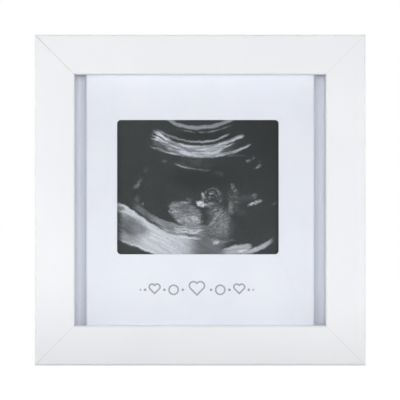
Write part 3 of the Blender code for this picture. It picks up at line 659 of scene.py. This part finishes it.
shape = bmesh.new()
card_tall = CARD_HIGH.z - CARD_LOW.z
rectangle(shape, (0, MIDDLE_HEIGHT), 2 * (PANEL_HALF - FOLD), card_tall, CARD_LOW.y)
opening = rectangle(shape, (WINDOW_X, WINDOW_Z), WINDOW_WIDTH, WINDOW_HEIGHT, CARD_LOW.y)
round_over(shape, opening.verts[:], WINDOW_CORNER, 10, "VERTICES")
bmesh.ops.delete(shape, geom=shape.faces[:], context="FACES_ONLY")
bmesh.ops.triangle_fill(shape, edges=shape.edges[:], use_beauty=True)
for side in (-1, 1):
    fold_side(shape, side)
bmesh.ops.remove_doubles(shape, verts=shape.verts, dist=WELD)
bmesh.ops.recalc_face_normals(shape, faces=shape.faces)
if sum(face.normal.y * face.calc_area() for face in shape.faces) > 0:
    bmesh.ops.reverse_faces(shape, faces=shape.faces[:])
bmesh.ops.solidify(shape, geom=shape.faces[:], thickness=CARD_SHEET)

# %% [markdown]
# The sheet now shows three kinds of face: its front, the folded sides, and the cut edges, which are
# as wide as the sheet is thick.

# %% Give the card its finishes and ease its edges
FRONT, CUT, FOLDED = 0, 1, 2
NEAR_WINDOW = 60


def kind_of_face(face):
    """Which of the card's finishes a face gets."""
    middle = face.calc_center_median()
    sheet_wide = any(abs(edge.calc_length() - CARD_SHEET) < 0.02 for edge in face.edges)
    if sheet_wide and abs(face.normal.y) < 0.5 and abs(middle.x) < NEAR_WINDOW:
        return CUT
    if abs(face.normal.z) > 0.9:
        return CUT
    return FOLDED if middle.y > CARD_LOW.y + FOLD else FRONT


for face in shape.faces:
    face.material_index = kind_of_face(face)
round_over(shape, sharp_edges(shape, 60), 0.08)
depths = [vert.co.y for vert in shape.verts]
print(f"card from depth {min(depths):.2f} to {max(depths):.2f} mm")
finishes = [mount_paper, card_core, mount_sides]
settle(shape, "dressed_window_card", finishes, ["window_card"])

# %% [markdown]
# ## Spacers
# Strips of white foam board line the rebate and hold the glass to the lip. From the side they are
# the outer wall of the shadowed channels. Their faces are smooth paper and their cut faces foam.
# The knife leans by a few degrees, so the two deep strips are undercut and their walls don't show
# as a dark line from the front.

# %% Cut the spacers
foam = new_finish("foam_board")
vector = {"Vector": foam.place(), "Scale": 2600.0}
cells = foam.node("TexVoronoi", sockets=vector, take="Distance")
tone = foam.tint(cells, (246, 247, 250), (250, 251, 253), 0.1, 0.7)
foam_board = foam.finish(tone, 0.8, foam.bump(cells, 0.02, 0.5))

UNDERCUT = 1.1
OUTWARDS = {"left": -1, "right": 1, "top": 0, "bottom": 0}
for side, outwards in OUTWARDS.items():
    low, high = bench_box(f"spacer_{side}")
    shape = slab(low, high)
    if outwards:
        middle_x = (low.x + high.x) / 2
        back = [vert for vert in shape.verts if vert.co.y > high.y - 0.1]
        inner_back = [vert for vert in back if (vert.co.x - middle_x) * outwards < 0]
        bmesh.ops.translate(shape, verts=inner_back, vec=(outwards * UNDERCUT, 0, 0))
    round_over(shape, shape.edges[:], 0.15)
    settle(shape, f"dressed_spacer_{side}", [foam_board], [f"spacer_{side}"])

# %% [markdown]
# ## Row of motifs on the card
# Below the window the card carries one line of pale grey ornament: outline hearts, rings and beads,
# printed in ink thick enough to feel. An outline is drawn as a filled face, inset by the stroke's
# width, and its inner face is taken out. The heart is half drawn, from its tip up and round one
# lobe with spin, and mirrored.

# %% Mix the ink and draw the motifs
grey_ink = grained(
    "grey_ink", (164, 165, 175), (175, 176, 185), 0.5, (0.01, 0.5), size=0.5, detail=3.0
)
STROKE = 1.0
INK_HEIGHT, INK_SOAKED = 0.07, 0.02


def hollow_out(shape, face):
    """Leaves a stroke along a face's edge and takes the rest out."""
    bmesh.ops.inset_region(
        shape, faces=[face], thickness=STROKE, use_even_offset=True, use_boundary=True
    )
    bmesh.ops.delete(shape, geom=[face], context="FACES")


def heart(shape, x, z, width):
    """An outline heart: a square on its point with a half circle on each upper side."""
    half = width / (1 + math.sqrt(2))
    tip = shape.verts.new((0, 0, -half))
    side = parts_of(bmesh.ops.extrude_vert_indiv(shape, verts=[tip])["verts"], POINT)
    bmesh.ops.translate(shape, verts=side, vec=(half, 0, half))
    lobe = (half / 2, 0, half / 2)
    bend_round(shape, side, lobe, (0, 1, 0), -math.pi, 14)
    drawn = [vert for vert in shape.verts if not vert.link_faces]
    edges = list({edge for vert in drawn for edge in vert.link_edges})
    bmesh.ops.mirror(shape, geom=drawn + edges, axis="X", merge_dist=0.001)
    loose = [vert for vert in shape.verts if not vert.link_faces]
    bmesh.ops.remove_doubles(shape, verts=loose, dist=0.01)
    loop = [edge for edge in shape.edges if not edge.link_faces]
    face = bmesh.ops.edgeloop_fill(shape, edges=loop)["faces"][0]
    bmesh.ops.translate(shape, verts=face.verts[:], vec=(x, 0, z))
    hollow_out(shape, face)


def disc(shape, x, z, width, steps):
    place = Matrix.Translation((x, 0, z)) @ Matrix.Rotation(QUARTER, 4, "X")
    made = bmesh.ops.create_circle(
        shape, cap_ends=True, segments=steps, radius=width / 2, matrix=place
    )
    return made["verts"][0].link_faces[0]


ROW_X, ROW_Z = -2.0, MIDDLE_HEIGHT - 54.3
shape = bmesh.new()
heart(shape, 0, 0, 10.2)
for side in (-1, 1):
    disc(shape, side * 8.6, -0.4, 1.7, 20)
    hollow_out(shape, disc(shape, side * 14.2, -0.4, 6.6, 44))
    disc(shape, side * 19.8, -0.4, 1.7, 20)
    heart(shape, side * 25.8, -0.2, 7.6)
    disc(shape, side * 31.6, -0.4, 1.7, 20)
    disc(shape, side * 34.4, -0.4, 1.1, 16)
thicken(shape, shape.faces[:], (0, INK_HEIGHT + INK_SOAKED, 0))
bmesh.ops.translate(shape, verts=shape.verts[:], vec=(ROW_X, CARD_LOW.y - INK_HEIGHT, ROW_Z))
settle(shape, "card_motifs", [grey_ink], flat_above=0.0)

# %% [markdown]
# ## Scan on the print
# A sonogram is a picture made of echoes. The probe lies above the picture's top edge and sweeps a
# fan, so every echo is smeared along an arc round it, and speckle is wider than it is tall.
# The finish is drawn in that fan: X and Z become an angle and a reach, noise stretched along the
# angle gives the grain, and soft masks say where tissue throws echoes and where fluid stays dark.
# All of it is a generic scan: layers near the probe, a dark sac, a rounded body and head inside it,
# and bright tissue below. Distances are in millimetres from the window's middle.

# %% Prepare the fan and the shapes for the scan
scan = new_finish("thermal_scan")
rise, fall = scan.rise, scan.fall


def wobble(size, by, seed, detail=2.0):
    """A noise about 0, which pushes a value about so that no edge is a clean line."""
    return (scan.grain(size, detail=detail, shift=seed) - 0.5) * by


where = scan.node("SeparateXYZ", sockets={0: scan.place()}, take="X")
flat_x = where * 1000 - WINDOW_X
flat_z = where.out("Z") * 1000 - WINDOW_Z
x = flat_x + wobble(6, 2.4, 0.0, 3.0) + wobble(1.8, 1.3, 2.0)
z = flat_z + wobble(5, 2.0, 5.0, 3.0) + wobble(1.6, 0.7, 8.0)
ragged = {0: x + wobble(1.1, 2.6, 12.0), 2: z + wobble(0.9, 1.8, 16.0)}
spot = scan.node("CombineXYZ", sockets=ragged)

PROBE_X, PROBE_Z = 2.0, 84.0
MM_PER_RADIAN = 62
beside, below = x - PROBE_X, PROBE_Z - z
reach = (beside * beside + below * below) ** 0.5
sweep = beside.maths("ARCTAN2", beside, below) * MM_PER_RADIAN
print("fan centred", PROBE_Z, "mm above the window's middle")


def texture(across, up, seed, detail=3.0, low=0.3, high=0.7):
    """Noise over two distances, counted in lumps, and spread to run from 0 to 1."""
    vector = scan.node("CombineXYZ", sockets={0: across, 1: up, 2: seed})
    return rise(scan.noise(vector, detail, 0.55), low, high)


def line(at, height, tilt=0.0, bend=0.0, skew=0.0, twist=0.0):
    """The height of a bent line over every x of the scan."""
    dx = x - at
    return height + dx * (tilt + dx * (bend + dx * (skew + dx * twist)))


def between(lower, upper, soft=0.5):
    """A mask that is 1 between two lines."""
    return rise(z - lower, -soft, soft) * rise(upper - z, -soft, soft)


def stroke(middle_line, half, start, end, fade=5.0):
    """A mask along a line that thins out at its ends."""
    ends = rise(x, start, start + fade) * fall(x, end - fade, end)
    return fall(abs(z - middle_line) / half, 0.35, 1.25) * ends


def blob(middle, radii, lean=0.0, soft=0.3):
    """A mask that is 1 inside a leaning ellipse and falls to 0 across its edge."""
    sockets = {
        "Vector": spot,
        "Location": (middle[0], 0, middle[1]),
        "Rotation": (0, -math.radians(lean), 0),
        "Scale": (radii[0], 1, radii[1]),
    }
    own = scan.node("Mapping", {"vector_type": "TEXTURE"}, sockets)
    away = scan.node("VectorMath", {"operation": "LENGTH"}, {0: own}, take="Value")
    return fall(away, 1 - soft, 1 + soft)


# %% [markdown]
# ### Layering the echoes
# Each layer is a mask times a texture times a strength, and the layers are added up, as echoes are.
# Nearest the probe lie skin and muscle: three lines and one broad band that splits into two prongs
# on the right and frays on the left. Its threads follow its own two edges, so the noise is laid
# over the share of the way across the band and not over the height.

# %% Layers near the probe
fine = texture(sweep / 0.8, reach / 0.6, 1.0, 2.0)
bars = texture(sweep / 7.0, reach / 0.85, 2.0, 3.0, 0.36, 0.66)
lumps = texture(sweep / 4.5, reach / 2.6, 3.0)
grains = texture(sweep / 1.3, reach / 1.0, 6.0, 3.0, 0.36, 0.64)

skin_line = line(1.5, 36.2, tilt=0.042, bend=0.0130, skew=-0.0001)
layers = stroke(skin_line, 1.35, -22, 25) * (0.37 + 0.10 * bars)
layers += stroke(line(1.0, 33.4, bend=0.0115), 0.6, -14, 23, 8) * 0.32 * lumps
thin_line = stroke(line(0.5, 27.5, bend=0.0130, skew=0.00006), 0.75, -26, 21, 5)
layers += thin_line * rise(x, -12, 4, 0.34, 0.58) * (0.75 + 0.25 * bars)

BAND_LEFT, BAND_RIGHT = -25.0, 33.5
lower_edge = line(3.0, 17.9, bend=0.0075, skew=0.00006)
upper_edge = line(2.0, 25.1, tilt=0.06, bend=0.0120, skew=-0.0001)
share = (z - lower_edge) / (upper_edge - lower_edge)
threads = texture(x / 11, share * 4.5, 4.0, 4.0, 0.36, 0.64)
prongs = rise(x - 9 * threads, 9, 15) * fall(abs(share - 0.45), 0.24, 0.34)
wedge = fall(x, -21, -17) * fall(abs(share - 0.29), 0.10, 0.18)
ends = rise(x + threads * 5, BAND_LEFT, BAND_LEFT + 4.0)
ends *= fall(x + share * 5.5, BAND_RIGHT - 3.0, BAND_RIGHT)
band = between(lower_edge, upper_edge) * ends * (1 - prongs * rise(x, 13, 25, 0.68, 0.97))
band *= 1 - 0.85 * wedge
layers += band * (rise(x, -20, 0, 0.16, 0.32) + rise(x, -12, 2, 0.55, 0.44) * threads)
fray = texture((x * 0.87 - z * 0.5) / 4.5, (z * 0.87 + x * 0.5) / 0.9, 7.0, 2.0, 0.4, 0.6)
layers += blob((-22.6, 30.4), (5.0, 2.6), -22, 0.45) * 0.62 * fray

layers += stroke(line(4.0, 10.5, bend=0.0115), 0.6, -15, 9, 3) * rise(x, -9, 0, 0.40, 0.10)
layers += blob((-2.0, 14.0), (10.0, 4.4), 0, 0.5) * (0.01 + 0.05 * lumps)
layers += stroke(line(24.0, 19.4), 0.9, 15, 32) * 0.14 * bars
print("band at most", BAND_RIGHT - BAND_LEFT, "mm long")

# %% [markdown]
# Below the dark sac lies bright tissue. One line is its upper edge and one its floor, and the
# texture between them slants as the tissue does. Above it runs a thinner grey lining, parted from
# it by a dark seam on the left. Two bright crescents close the picture at the bottom right.

# %% Tissue below the sac
SLANT = math.radians(-27)
along = x * math.cos(SLANT) + z * math.sin(SLANT)
across = z * math.cos(SLANT) - x * math.sin(SLANT)
slant = texture(along / 14, across / 1.7, 4.0)

tissue_top = line(-48.4, -9.5, tilt=-0.33, bend=-0.03274, skew=0.001035, twist=-8.337e-6)
tissue_floor = line(-47.0, -33.0, tilt=-0.39)
left_end = rise(x + fray + rise(z, -17, -12, 0.0, 3.0), -48.8, -44.4)
notch = blob((-47.2, -12.9), (2.3, 1.1), -20, 0.6)
tissue = between(tissue_floor, tissue_top, 0.7) * left_end * (1 - 0.6 * notch)
tissue *= rise(x, -10, 3, 1.0, 0.29) * fall(x, 12, 18)
crest = fall(tissue_top - z, 2.6, 5.2) * fall(x, -34, -18)
pale = blob((-22.0, -33.0), (16.0, 8.0), -14, 0.6)
dull = blob((-41.5, -23.3), (11.5, 5.0), -22, 0.4)
dim = blob((-45.0, -29.5), (9.0, 4.5), -20, 0.6)
rim = fall(abs(z - tissue_floor - 0.9) / 0.6, 0.3, 1.3) * fall(x, -30, -22)
layers += tissue * (0.50 + 0.20 * slant * (1 - 0.7 * dull) + 0.17 * crest + 0.17 * pale)
layers -= tissue * (dull * (0.36 - 0.14 * lumps) + 0.20 * dim - 0.14 * rim)

lining_top = line(-34.1, -13.0, tilt=-0.68, bend=0.0107)
streaks = texture(x / 7, (z - lining_top) / 0.9, 12.0, 2.0, 0.38, 0.62)
over_top = z - tissue_top
seam = rise(over_top, 0.0, 0.8) * fall(over_top, 1.4, 2.8) * fall(x, -27, -19)
lining = between(tissue_top, lining_top, 0.9) * rise(x, -42, -33) * fall(x, -1, 9)
layers += lining * rise(x, -38, -18, 0.40, 1.0) * (0.24 + 0.24 * streaks) * (1 - 0.75 * seam)
under_body = stroke(line(-5.0, -26.8, tilt=-0.05, bend=0.004), 2.2, -16, 4, 4)
layers += under_body * (0.03 + 0.17 * bars + 0.19 * streaks)
layers += stroke(line(-4.0, -31.0, tilt=-0.15), 0.7, -15, 4, 6) * 0.34
layers *= 1 - 0.55 * stroke(line(-4.0, -29.4, tilt=-0.16, bend=0.004), 0.6, -13, 4, 5)

crescent = between(line(31.4, -37.6, tilt=0.45), line(29.5, -34.6, bend=-0.016), 0.6)
crescent *= rise(x, 12, 19) * fall(x, 31, 34)
layers += crescent * (0.46 + 0.18 * bars)
layers += stroke(line(33.0, -38.9, tilt=0.28, bend=0.018), 1.7, 23, 47) * (0.48 + 0.20 * bars)
print(f"tissue slants by {math.degrees(SLANT):.0f} degrees")

# %% [markdown]
# In the sac float a grainy body and a rounded head, whose texture curls round its middle: the noise
# gets the distance from the middle as its third number. Beside them stand the sac's side wall and a
# grainy mass. A table of small soft spots adds the stray echoes: place, radii, lean and strength.
# The faintest of them have the softest edges.

# %% Forms in the sac
weave = texture(x / 5.0, z / 1.2, 5.0, 3.0, 0.36, 0.64)
body = blob((-6.9, -16.4), (10.4, 6.5), -27, 0.2)
side_light = rise(z, -21, -11, 1.15, 0.60)
layers += body * (0.10 + 0.25 * weave + 0.12 * grains + 0.10 * lumps) * side_light
layers += blob((-14.6, -13.0), (2.6, 3.6), 0, 0.4) * 0.17 * grains

HEAD = (8.6, -6.6)
head = blob(HEAD, (6.3, 5.9), 0, 0.18)
ends = {0: spot, 1: (HEAD[0], 0, HEAD[1])}
from_head = scan.node("VectorMath", {"operation": "DISTANCE"}, ends, take="Value")
curls = texture(x / 4.0, z / 4.0, from_head / 0.9, 2.0, 0.48, 0.64)
skull = head * (1 - blob(HEAD, (5.0, 4.7), 0, 0.2))
layers += head * 0.28 * curls * rise(lumps, 0.2, 0.8, 0.30, 1.0) + skull * 0.11 * lumps

hatch = texture((x + z) / 5.0, (x - z) / 1.3, 13.0, 2.0, 0.42, 0.58)
mass_top = blob((10.6, -15.3), (5.4, 3.2), 0, 0.5) * rise(x, 6, 10, 0.6, 1.0)
layers += mass_top * (0.06 * grains + 0.17 * hatch)
layers += blob((11.2, -22.6), (5.6, 9.4), -14, 0.5) * (0.04 + 0.10 * grains + 0.11 * hatch)
layers += blob((15.0, -25.0), (5.6, 8.0), 0, 0.6) * (0.07 + 0.06 * grains)
layers *= 1 - 0.45 * blob((7.6, -18.4), (3.0, 2.2), 45, 0.6)
side_wall = blob((22.0, -7.6), (3.6, 6.0), 10, 0.6)
layers += side_wall * (0.01 + 0.20 * grains * weave)
print("head", HEAD, "mm from the window's middle")

# %% Stray echoes
STRAY_ECHOES = [
    (0.2, -9.4, 1.6, 1.2, 10, 0.20), (4.9, -11.0, 2.2, 0.7, -5, 0.34),
    (4.2, -7.0, 1.4, 0.8, 20, 0.20), (-8.1, -9.3, 2.6, 0.5, 5, 0.44),
    (-5.6, -8.0, 1.6, 1.0, -30, 0.14), (-1.6, -19.5, 1.6, 2.4, 0, 0.22),
    (-15.6, -10.9, 1.7, 1.3, 40, 0.18), (-16.2, -14.6, 1.3, 0.9, 0, 0.22),
    (17.2, -23.0, 1.7, 6.5, -4, 0.14), (9.4, -20.4, 4.6, 0.7, 47, 0.20),
    (20.0, -12.6, 1.5, 3.8, 10, 0.22), (20.9, 0.6, 0.9, 1.6, 0, 0.24),
    (22.9, -2.3, 1.0, 1.4, 0, 0.16), (35.0, -9.5, 3.8, 1.0, 20, 0.62),
    (34.5, -5.6, 1.7, 1.3, 45, 0.20), (29.5, -6.6, 3.4, 1.6, 0, 0.07),
    (46.7, -10.0, 1.8, 0.7, 30, 0.16), (30.8, 15.9, 1.3, 0.8, 45, 0.32),
    (33.6, 17.8, 1.4, 0.9, 40, 0.12), (36.8, 12.6, 2.0, 0.7, 35, 0.40),
    (38.3, 15.6, 1.4, 0.6, 40, 0.08), (13.0, 8.2, 2.8, 1.4, -20, 0.08),
    (-20.6, 16.0, 1.4, 0.6, 0, 0.14), (-37.3, 0.7, 1.0, 1.1, 20, 0.14),
    (-36.7, 1.9, 3.2, 1.1, 56, 0.16), (7.9, -4.1, 1.4, 0.45, 0, 0.42),
    (-31.6, 10.5, 1.2, 1.8, 0, 0.05), (-37.6, -7.4, 1.6, 1.8, 0, 0.10),
    (-33.3, -10.1, 1.0, 0.6, -30, 0.26), (8.8, -9.9, 3.0, 0.5, -5, 0.20),
    (11.2, -33.8, 1.9, 1.0, 25, 0.42), (17.0, -33.2, 4.8, 0.8, 12, 0.12),
    (26.9, -15.6, 2.4, 1.8, 0, 0.05), (-36.0, -12.5, 2.5, 2.0, -40, 0.10),
]
FAINT = 0.2
echoes = 0.0
for spot_x, spot_z, half_wide, half_tall, lean, strength in STRAY_ECHOES:
    soft = 0.9 if strength < FAINT else 0.5
    echoes = blob((spot_x, spot_z), (half_wide, half_tall), lean, soft) * strength + echoes
smudges = texture((x * 0.94 + z * 0.34) / 2.6, (z * 0.94 - x * 0.34) / 1.0, 9.0, 2.0, 0.38, 0.62)
layers += echoes * (0.35 + 0.55 * smudges + 0.50 * grains)
bright_spots = blob((1.7, -10.2), (2.5, 1.7), -8, 0.35) * 0.72
bright_spots += blob((3.0, -4.9), (0.8, 1.5), 18, 0.45) * 0.55
layers += bright_spots * (0.8 + 0.3 * smudges)
layers *= 1 - 0.8 * blob((3.6, -19.0), (1.6, 4.6), 4, 0.4)
print(len(STRAY_ECHOES), "stray echoes")

# %% [markdown]
# ### From echoes to paper
# The speckle multiplies the sum, so bright tissue is the grainiest. A colour ramp turns the sum
# into the slightly green black and the cool pale grey of thermal paper, darker along its sides.
# The heated, dark parts of the coating are a little glossier than the pale ones.

# %% Turn the echoes into a finish
haze = rise(x + z, 10, 85, 0.124, 0.074) + wobble(9, 0.03, 14.0, 3.0)
haze -= 0.03 * blob((2.0, 31.0), (20.0, 3.6), 0, 0.5)
haze -= 0.035 * blob((4.0, 6.0), (18.0, 8.0), 0, 0.6)
tone = (layers * 0.95 + haze) * (0.91 + 0.18 * fine)
margin = rise(abs(flat_x), 45.5, 48.5)
INK_STOPS = [
    (0.0, (0.004, 0.006, 0.007)),
    (0.12, (0.038, 0.043, 0.044)),
    (0.45, (0.245, 0.257, 0.277)),
    (0.85, (0.60, 0.62, 0.69)),
    (1.0, (0.72, 0.74, 0.82)),
]
grey = scan.node("ValToRGB", {"stops": INK_STOPS}, {0: tone})
grey = scan.mix(margin * 0.35, grey, (0.018, 0.021, 0.032, 1))
thermal_scan = scan.finish(grey, rise(tone, 0.15, 0.80, 0.28, 0.31), IOR=1.35)

# %% [markdown]
# ### Print
# The print is thin glossy paper off a roll, taped along its top and bottom edges, so it bows back
# by a fraction of a millimetre between them. A grid is bowed with a cosine over its height and
# then gets its thickness.

# %% Lay the print behind the window
print_back = grained(
    "print_back", (233, 233, 230), (241, 241, 239), 0.7, (0.01, 0.5), size=0.4, detail=3.0
)
BOW = 0.35
low, high = bench_box("ultrasound_print")
tall = high.z - low.z
shape = bmesh.new()
flat = Matrix.Translation((WINDOW_X, low.y, WINDOW_Z)) @ Matrix.Rotation(QUARTER, 4, "X")
size = Matrix.Diagonal(((high.x - low.x) / 2, tall / 2, 1, 1))
bmesh.ops.create_grid(shape, x_segments=12, y_segments=24, size=1.0, matrix=flat @ size)
thicken(shape, shape.faces[:], (0, high.y - low.y, 0))
for face in shape.faces:
    face.material_index = 0 if face.normal.y < -0.5 else 1
for vert in shape.verts:
    vert.co.y += BOW * math.cos(math.pi * (vert.co.z - WINDOW_Z) / tall)
finishes = [thermal_scan, print_back]
settle(shape, "dressed_print", finishes, ["ultrasound_print"], flat_above=1000)

# %% [markdown]
# ## Tape and backing inside the frame
# The tape and the white backing sheet are closed in by the card and the panel. Their solids have
# the right shape, so they stay, and only their finish is exchanged. Masking tape is creped: fine
# ridges run across it.

# %% Finish the hidden sheets
masking_tape = grained(
    "masking_tape", (214, 196, 150), (232, 216, 172), 0.6, (0.06, 0.9),
    size=0.5, stretch=(0.6, 1, 8), detail=2.0,
)


def refinish(node, finish):
    """Gives a solid that stays in view a finish in place of its plain colour."""
    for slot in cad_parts[node].material_slots:
        slot.material = finish


refinish("tape_top", masking_tape)
refinish("tape_bottom", masking_tape)
refinish("backing_card", mount_paper)
print("tape and backing finished")

# %% [markdown]
# ## Pieces that only need their edges eased
# The back panel, the strut and the small fittings already have their true outlines, holes and
# curls in CAD. Modelling them again would gain nothing, but sharp edges catch no light.
# So a copy of the solid is welded, its flat areas are joined into whole faces, and its edges are
# eased by a tenth of a millimetre or so.

# %% A helper that eases a solid's edges
WELD_SOLID, STILL_FLAT = 0.001, math.radians(0.5)


def ease(node, finish, width, body="frame", over=60):
    """A copy of a solid, with its edges over some degrees eased, which stands for it."""
    shape = bmesh.new()
    shape.from_mesh(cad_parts[node].data)
    shape.transform(BENCH.inverted())
    bmesh.ops.remove_doubles(shape, verts=shape.verts, dist=WELD_SOLID)
    bmesh.ops.dissolve_limit(
        shape, angle_limit=STILL_FLAT, verts=shape.verts, edges=shape.edges
    )
    round_over(shape, sharp_edges(shape, over), width)
    settle(shape, f"dressed_{node}", [finish], [node], body)


# %% [markdown]
# ## Fibreboard back and strut
# The panel and the strut are thin brown hardboard: a smooth face with fibres in all directions,
# darker flecks, and a slight sheen where the press was hot. Three noises of different size and
# stretch stand for the fibres, the flecks and the broad clouds.

# %% Finish the panel and the strut
hard = new_finish("hardboard")
first = hard.grain(0.45, stretch=(6, 1, 0.7), detail=3.0, roughness=0.6)
second = hard.grain(0.45, stretch=(0.7, 1, 6), detail=3.0, roughness=0.6, shift=3.0)
cross = hard.grain(0.4, stretch=(4, 1, 1), detail=3.0, shift=6.0, turn=(0, 0.8, 0))
fibres = (first + second + cross) / 3
clouds = hard.grain(30, detail=3.0, shift=2.0)
flecks = hard.rise(hard.grain(0.9, stretch=(2.2, 1, 1), detail=2.0, shift=11.0), 0.66, 0.76)
tone = hard.tint(fibres, (122, 84, 54), (171, 128, 88), 0.38, 0.62)
tone = hard.mix(hard.rise(clouds, 0.3, 0.7) * 0.35, tone, shade(132, 92, 60))
tone = hard.mix(flecks * 0.7, tone, shade(74, 48, 31))
sheen = hard.rise(clouds, 0.3, 0.7, 0.48, 0.62)
hardboard = hard.finish(tone, sheen, hard.bump(fibres, 0.05, 0.8))
ease("back_panel", hardboard, 0.2)
ease("easel_strut", hardboard, 0.25, "strut")

# %% [markdown]
# ## Zinc-plated fittings
# Screws, turn buttons, nails, rivets and the hanger are steel with a thin bright coat of zinc.
# It is greyer and rougher than chrome, slightly mottled, and rubbed brighter in places.
# Metal takes its look from what it reflects, so the noise goes into the roughness most of all.

# %% Finish the zinc pieces
zinc = new_finish("zinc_plate")
mottle = zinc.grain(1.6, detail=4.0, roughness=0.6)
scuffs = zinc.grain(0.3, stretch=(8, 1, 1), detail=2.0, shift=5.0, turn=(0, 0.5, 0))
tone = zinc.tint(mottle, (186, 188, 190), (212, 213, 213))
dull = zinc.rise(mottle, 0.25, 0.75, 0.24, 0.42)
zinc_plate = zinc.finish(tone, dull, zinc.bump(scuffs, 0.01, 0.5), Metallic=1.0)

for side in ("left", "right"):
    for level in ("upper", "lower"):
        button = f"button_{side}_{level}"
        ease(f"turn_{button}", zinc_plate, 0.12, button, over=40)
        ease(f"screw_{side}_{level}", zinc_plate, 0.05)
    ease(f"hinge_rivet_fixed_{side}", zinc_plate, 0.05)
    ease(f"hinge_rivet_strut_{side}", zinc_plate, 0.05, "strut")
for corner in CORNERS:
    for row in ("outer", "inner"):
        ease(f"corner_nail_{corner}_{row}", zinc_plate, 0.05, over=40)
ease("hanger_rivet", zinc_plate, 0.05)
ease("hanger_strap", zinc_plate, 0.1)

# %% [markdown]
# ## Brass-plated hinge
# The hinge is the one warm fitting. Its leaves are brushed along their width, so the grain is drawn
# out along X and the highlights smear across it.

# %% Finish the hinge
brass = new_finish("brushed_brass")
brush = brass.grain(0.12, stretch=(60, 1, 1), detail=3.0, roughness=0.6)
stain = brass.grain(5, detail=3.0, shift=4.0)
tone = brass.tint(brush, (190, 152, 84), (214, 178, 108))
tone = brass.mix(brass.rise(stain, 0.5, 0.8) * 0.4, tone, shade(164, 124, 70))
dull = brass.rise(stain, 0.3, 0.7, 0.26, 0.38)
brushed_brass = brass.finish(tone, dull, brass.bump(brush, 0.008, 0.6), Metallic=1.0)
ease("hinge_leaf_fixed", brushed_brass, 0.12)
ease("hinge_leaf_moving", brushed_brass, 0.12, "strut")
ease("hinge_pin", zinc_plate, 0.1)

# %% [markdown]
# ## Hanger's wire triangle
# The triangle is one round wire. It is made as a wire bender makes it: a circle is drawn along the
# bar, turned round the corner's centre, drawn down the slanting side and turned half round the
# foot. The other half is its mirror image, which makes the two ends meet exactly.

# %% Bend the wire
AXIS_DEPTH, AXIS_HEIGHT = 29.7, FRAME_HEIGHT - 30
WIRE, BEND, BAR_HALF, DROP = 0.8, 2.2, 11.0, 21.0
IN_PLANE = (0, 1, 0)
side_length = math.hypot(BAR_HALF, DROP)
slope = Vector((-BAR_HALF, 0, -DROP)) / side_length
corner_angle = math.acos(BAR_HALF / side_length)
corner_run = BEND / math.tan(corner_angle / 2)
foot_half_angle = QUARTER - corner_angle
foot_run = BEND / math.tan(foot_half_angle)

shape = bmesh.new()
across_bar = Matrix.Rotation(QUARTER, 4, "Y")
bmesh.ops.create_circle(shape, cap_ends=False, segments=14, radius=WIRE, matrix=across_bar)
loop = draw_out(shape, shape.edges[:], (BAR_HALF - corner_run, 0, 0))
corner_centre = (BAR_HALF - corner_run, 0, -BEND)
loop = bend_round(shape, loop, corner_centre, IN_PLANE, math.pi - corner_angle, 12)
loop = draw_out(shape, loop, slope * (side_length - corner_run - foot_run))
foot_centre = (0, 0, -DROP + BEND / math.sin(foot_half_angle))
bend_round(shape, loop, foot_centre, IN_PLANE, QUARTER - foot_half_angle, 7)
everything = shape.verts[:] + shape.edges[:] + shape.faces[:]
bmesh.ops.mirror(shape, geom=everything, axis="X", merge_dist=0.001)
bmesh.ops.remove_doubles(shape, verts=shape.verts, dist=0.01)
bmesh.ops.recalc_face_normals(shape, faces=shape.faces)
bmesh.ops.translate(shape, verts=shape.verts[:], vec=(0, AXIS_DEPTH, AXIS_HEIGHT))
ring = ["hanger_ring"]
settle(shape, "dressed_hanger_ring", [zinc_plate], ring, "ring", flat_above=1000, crease=80)
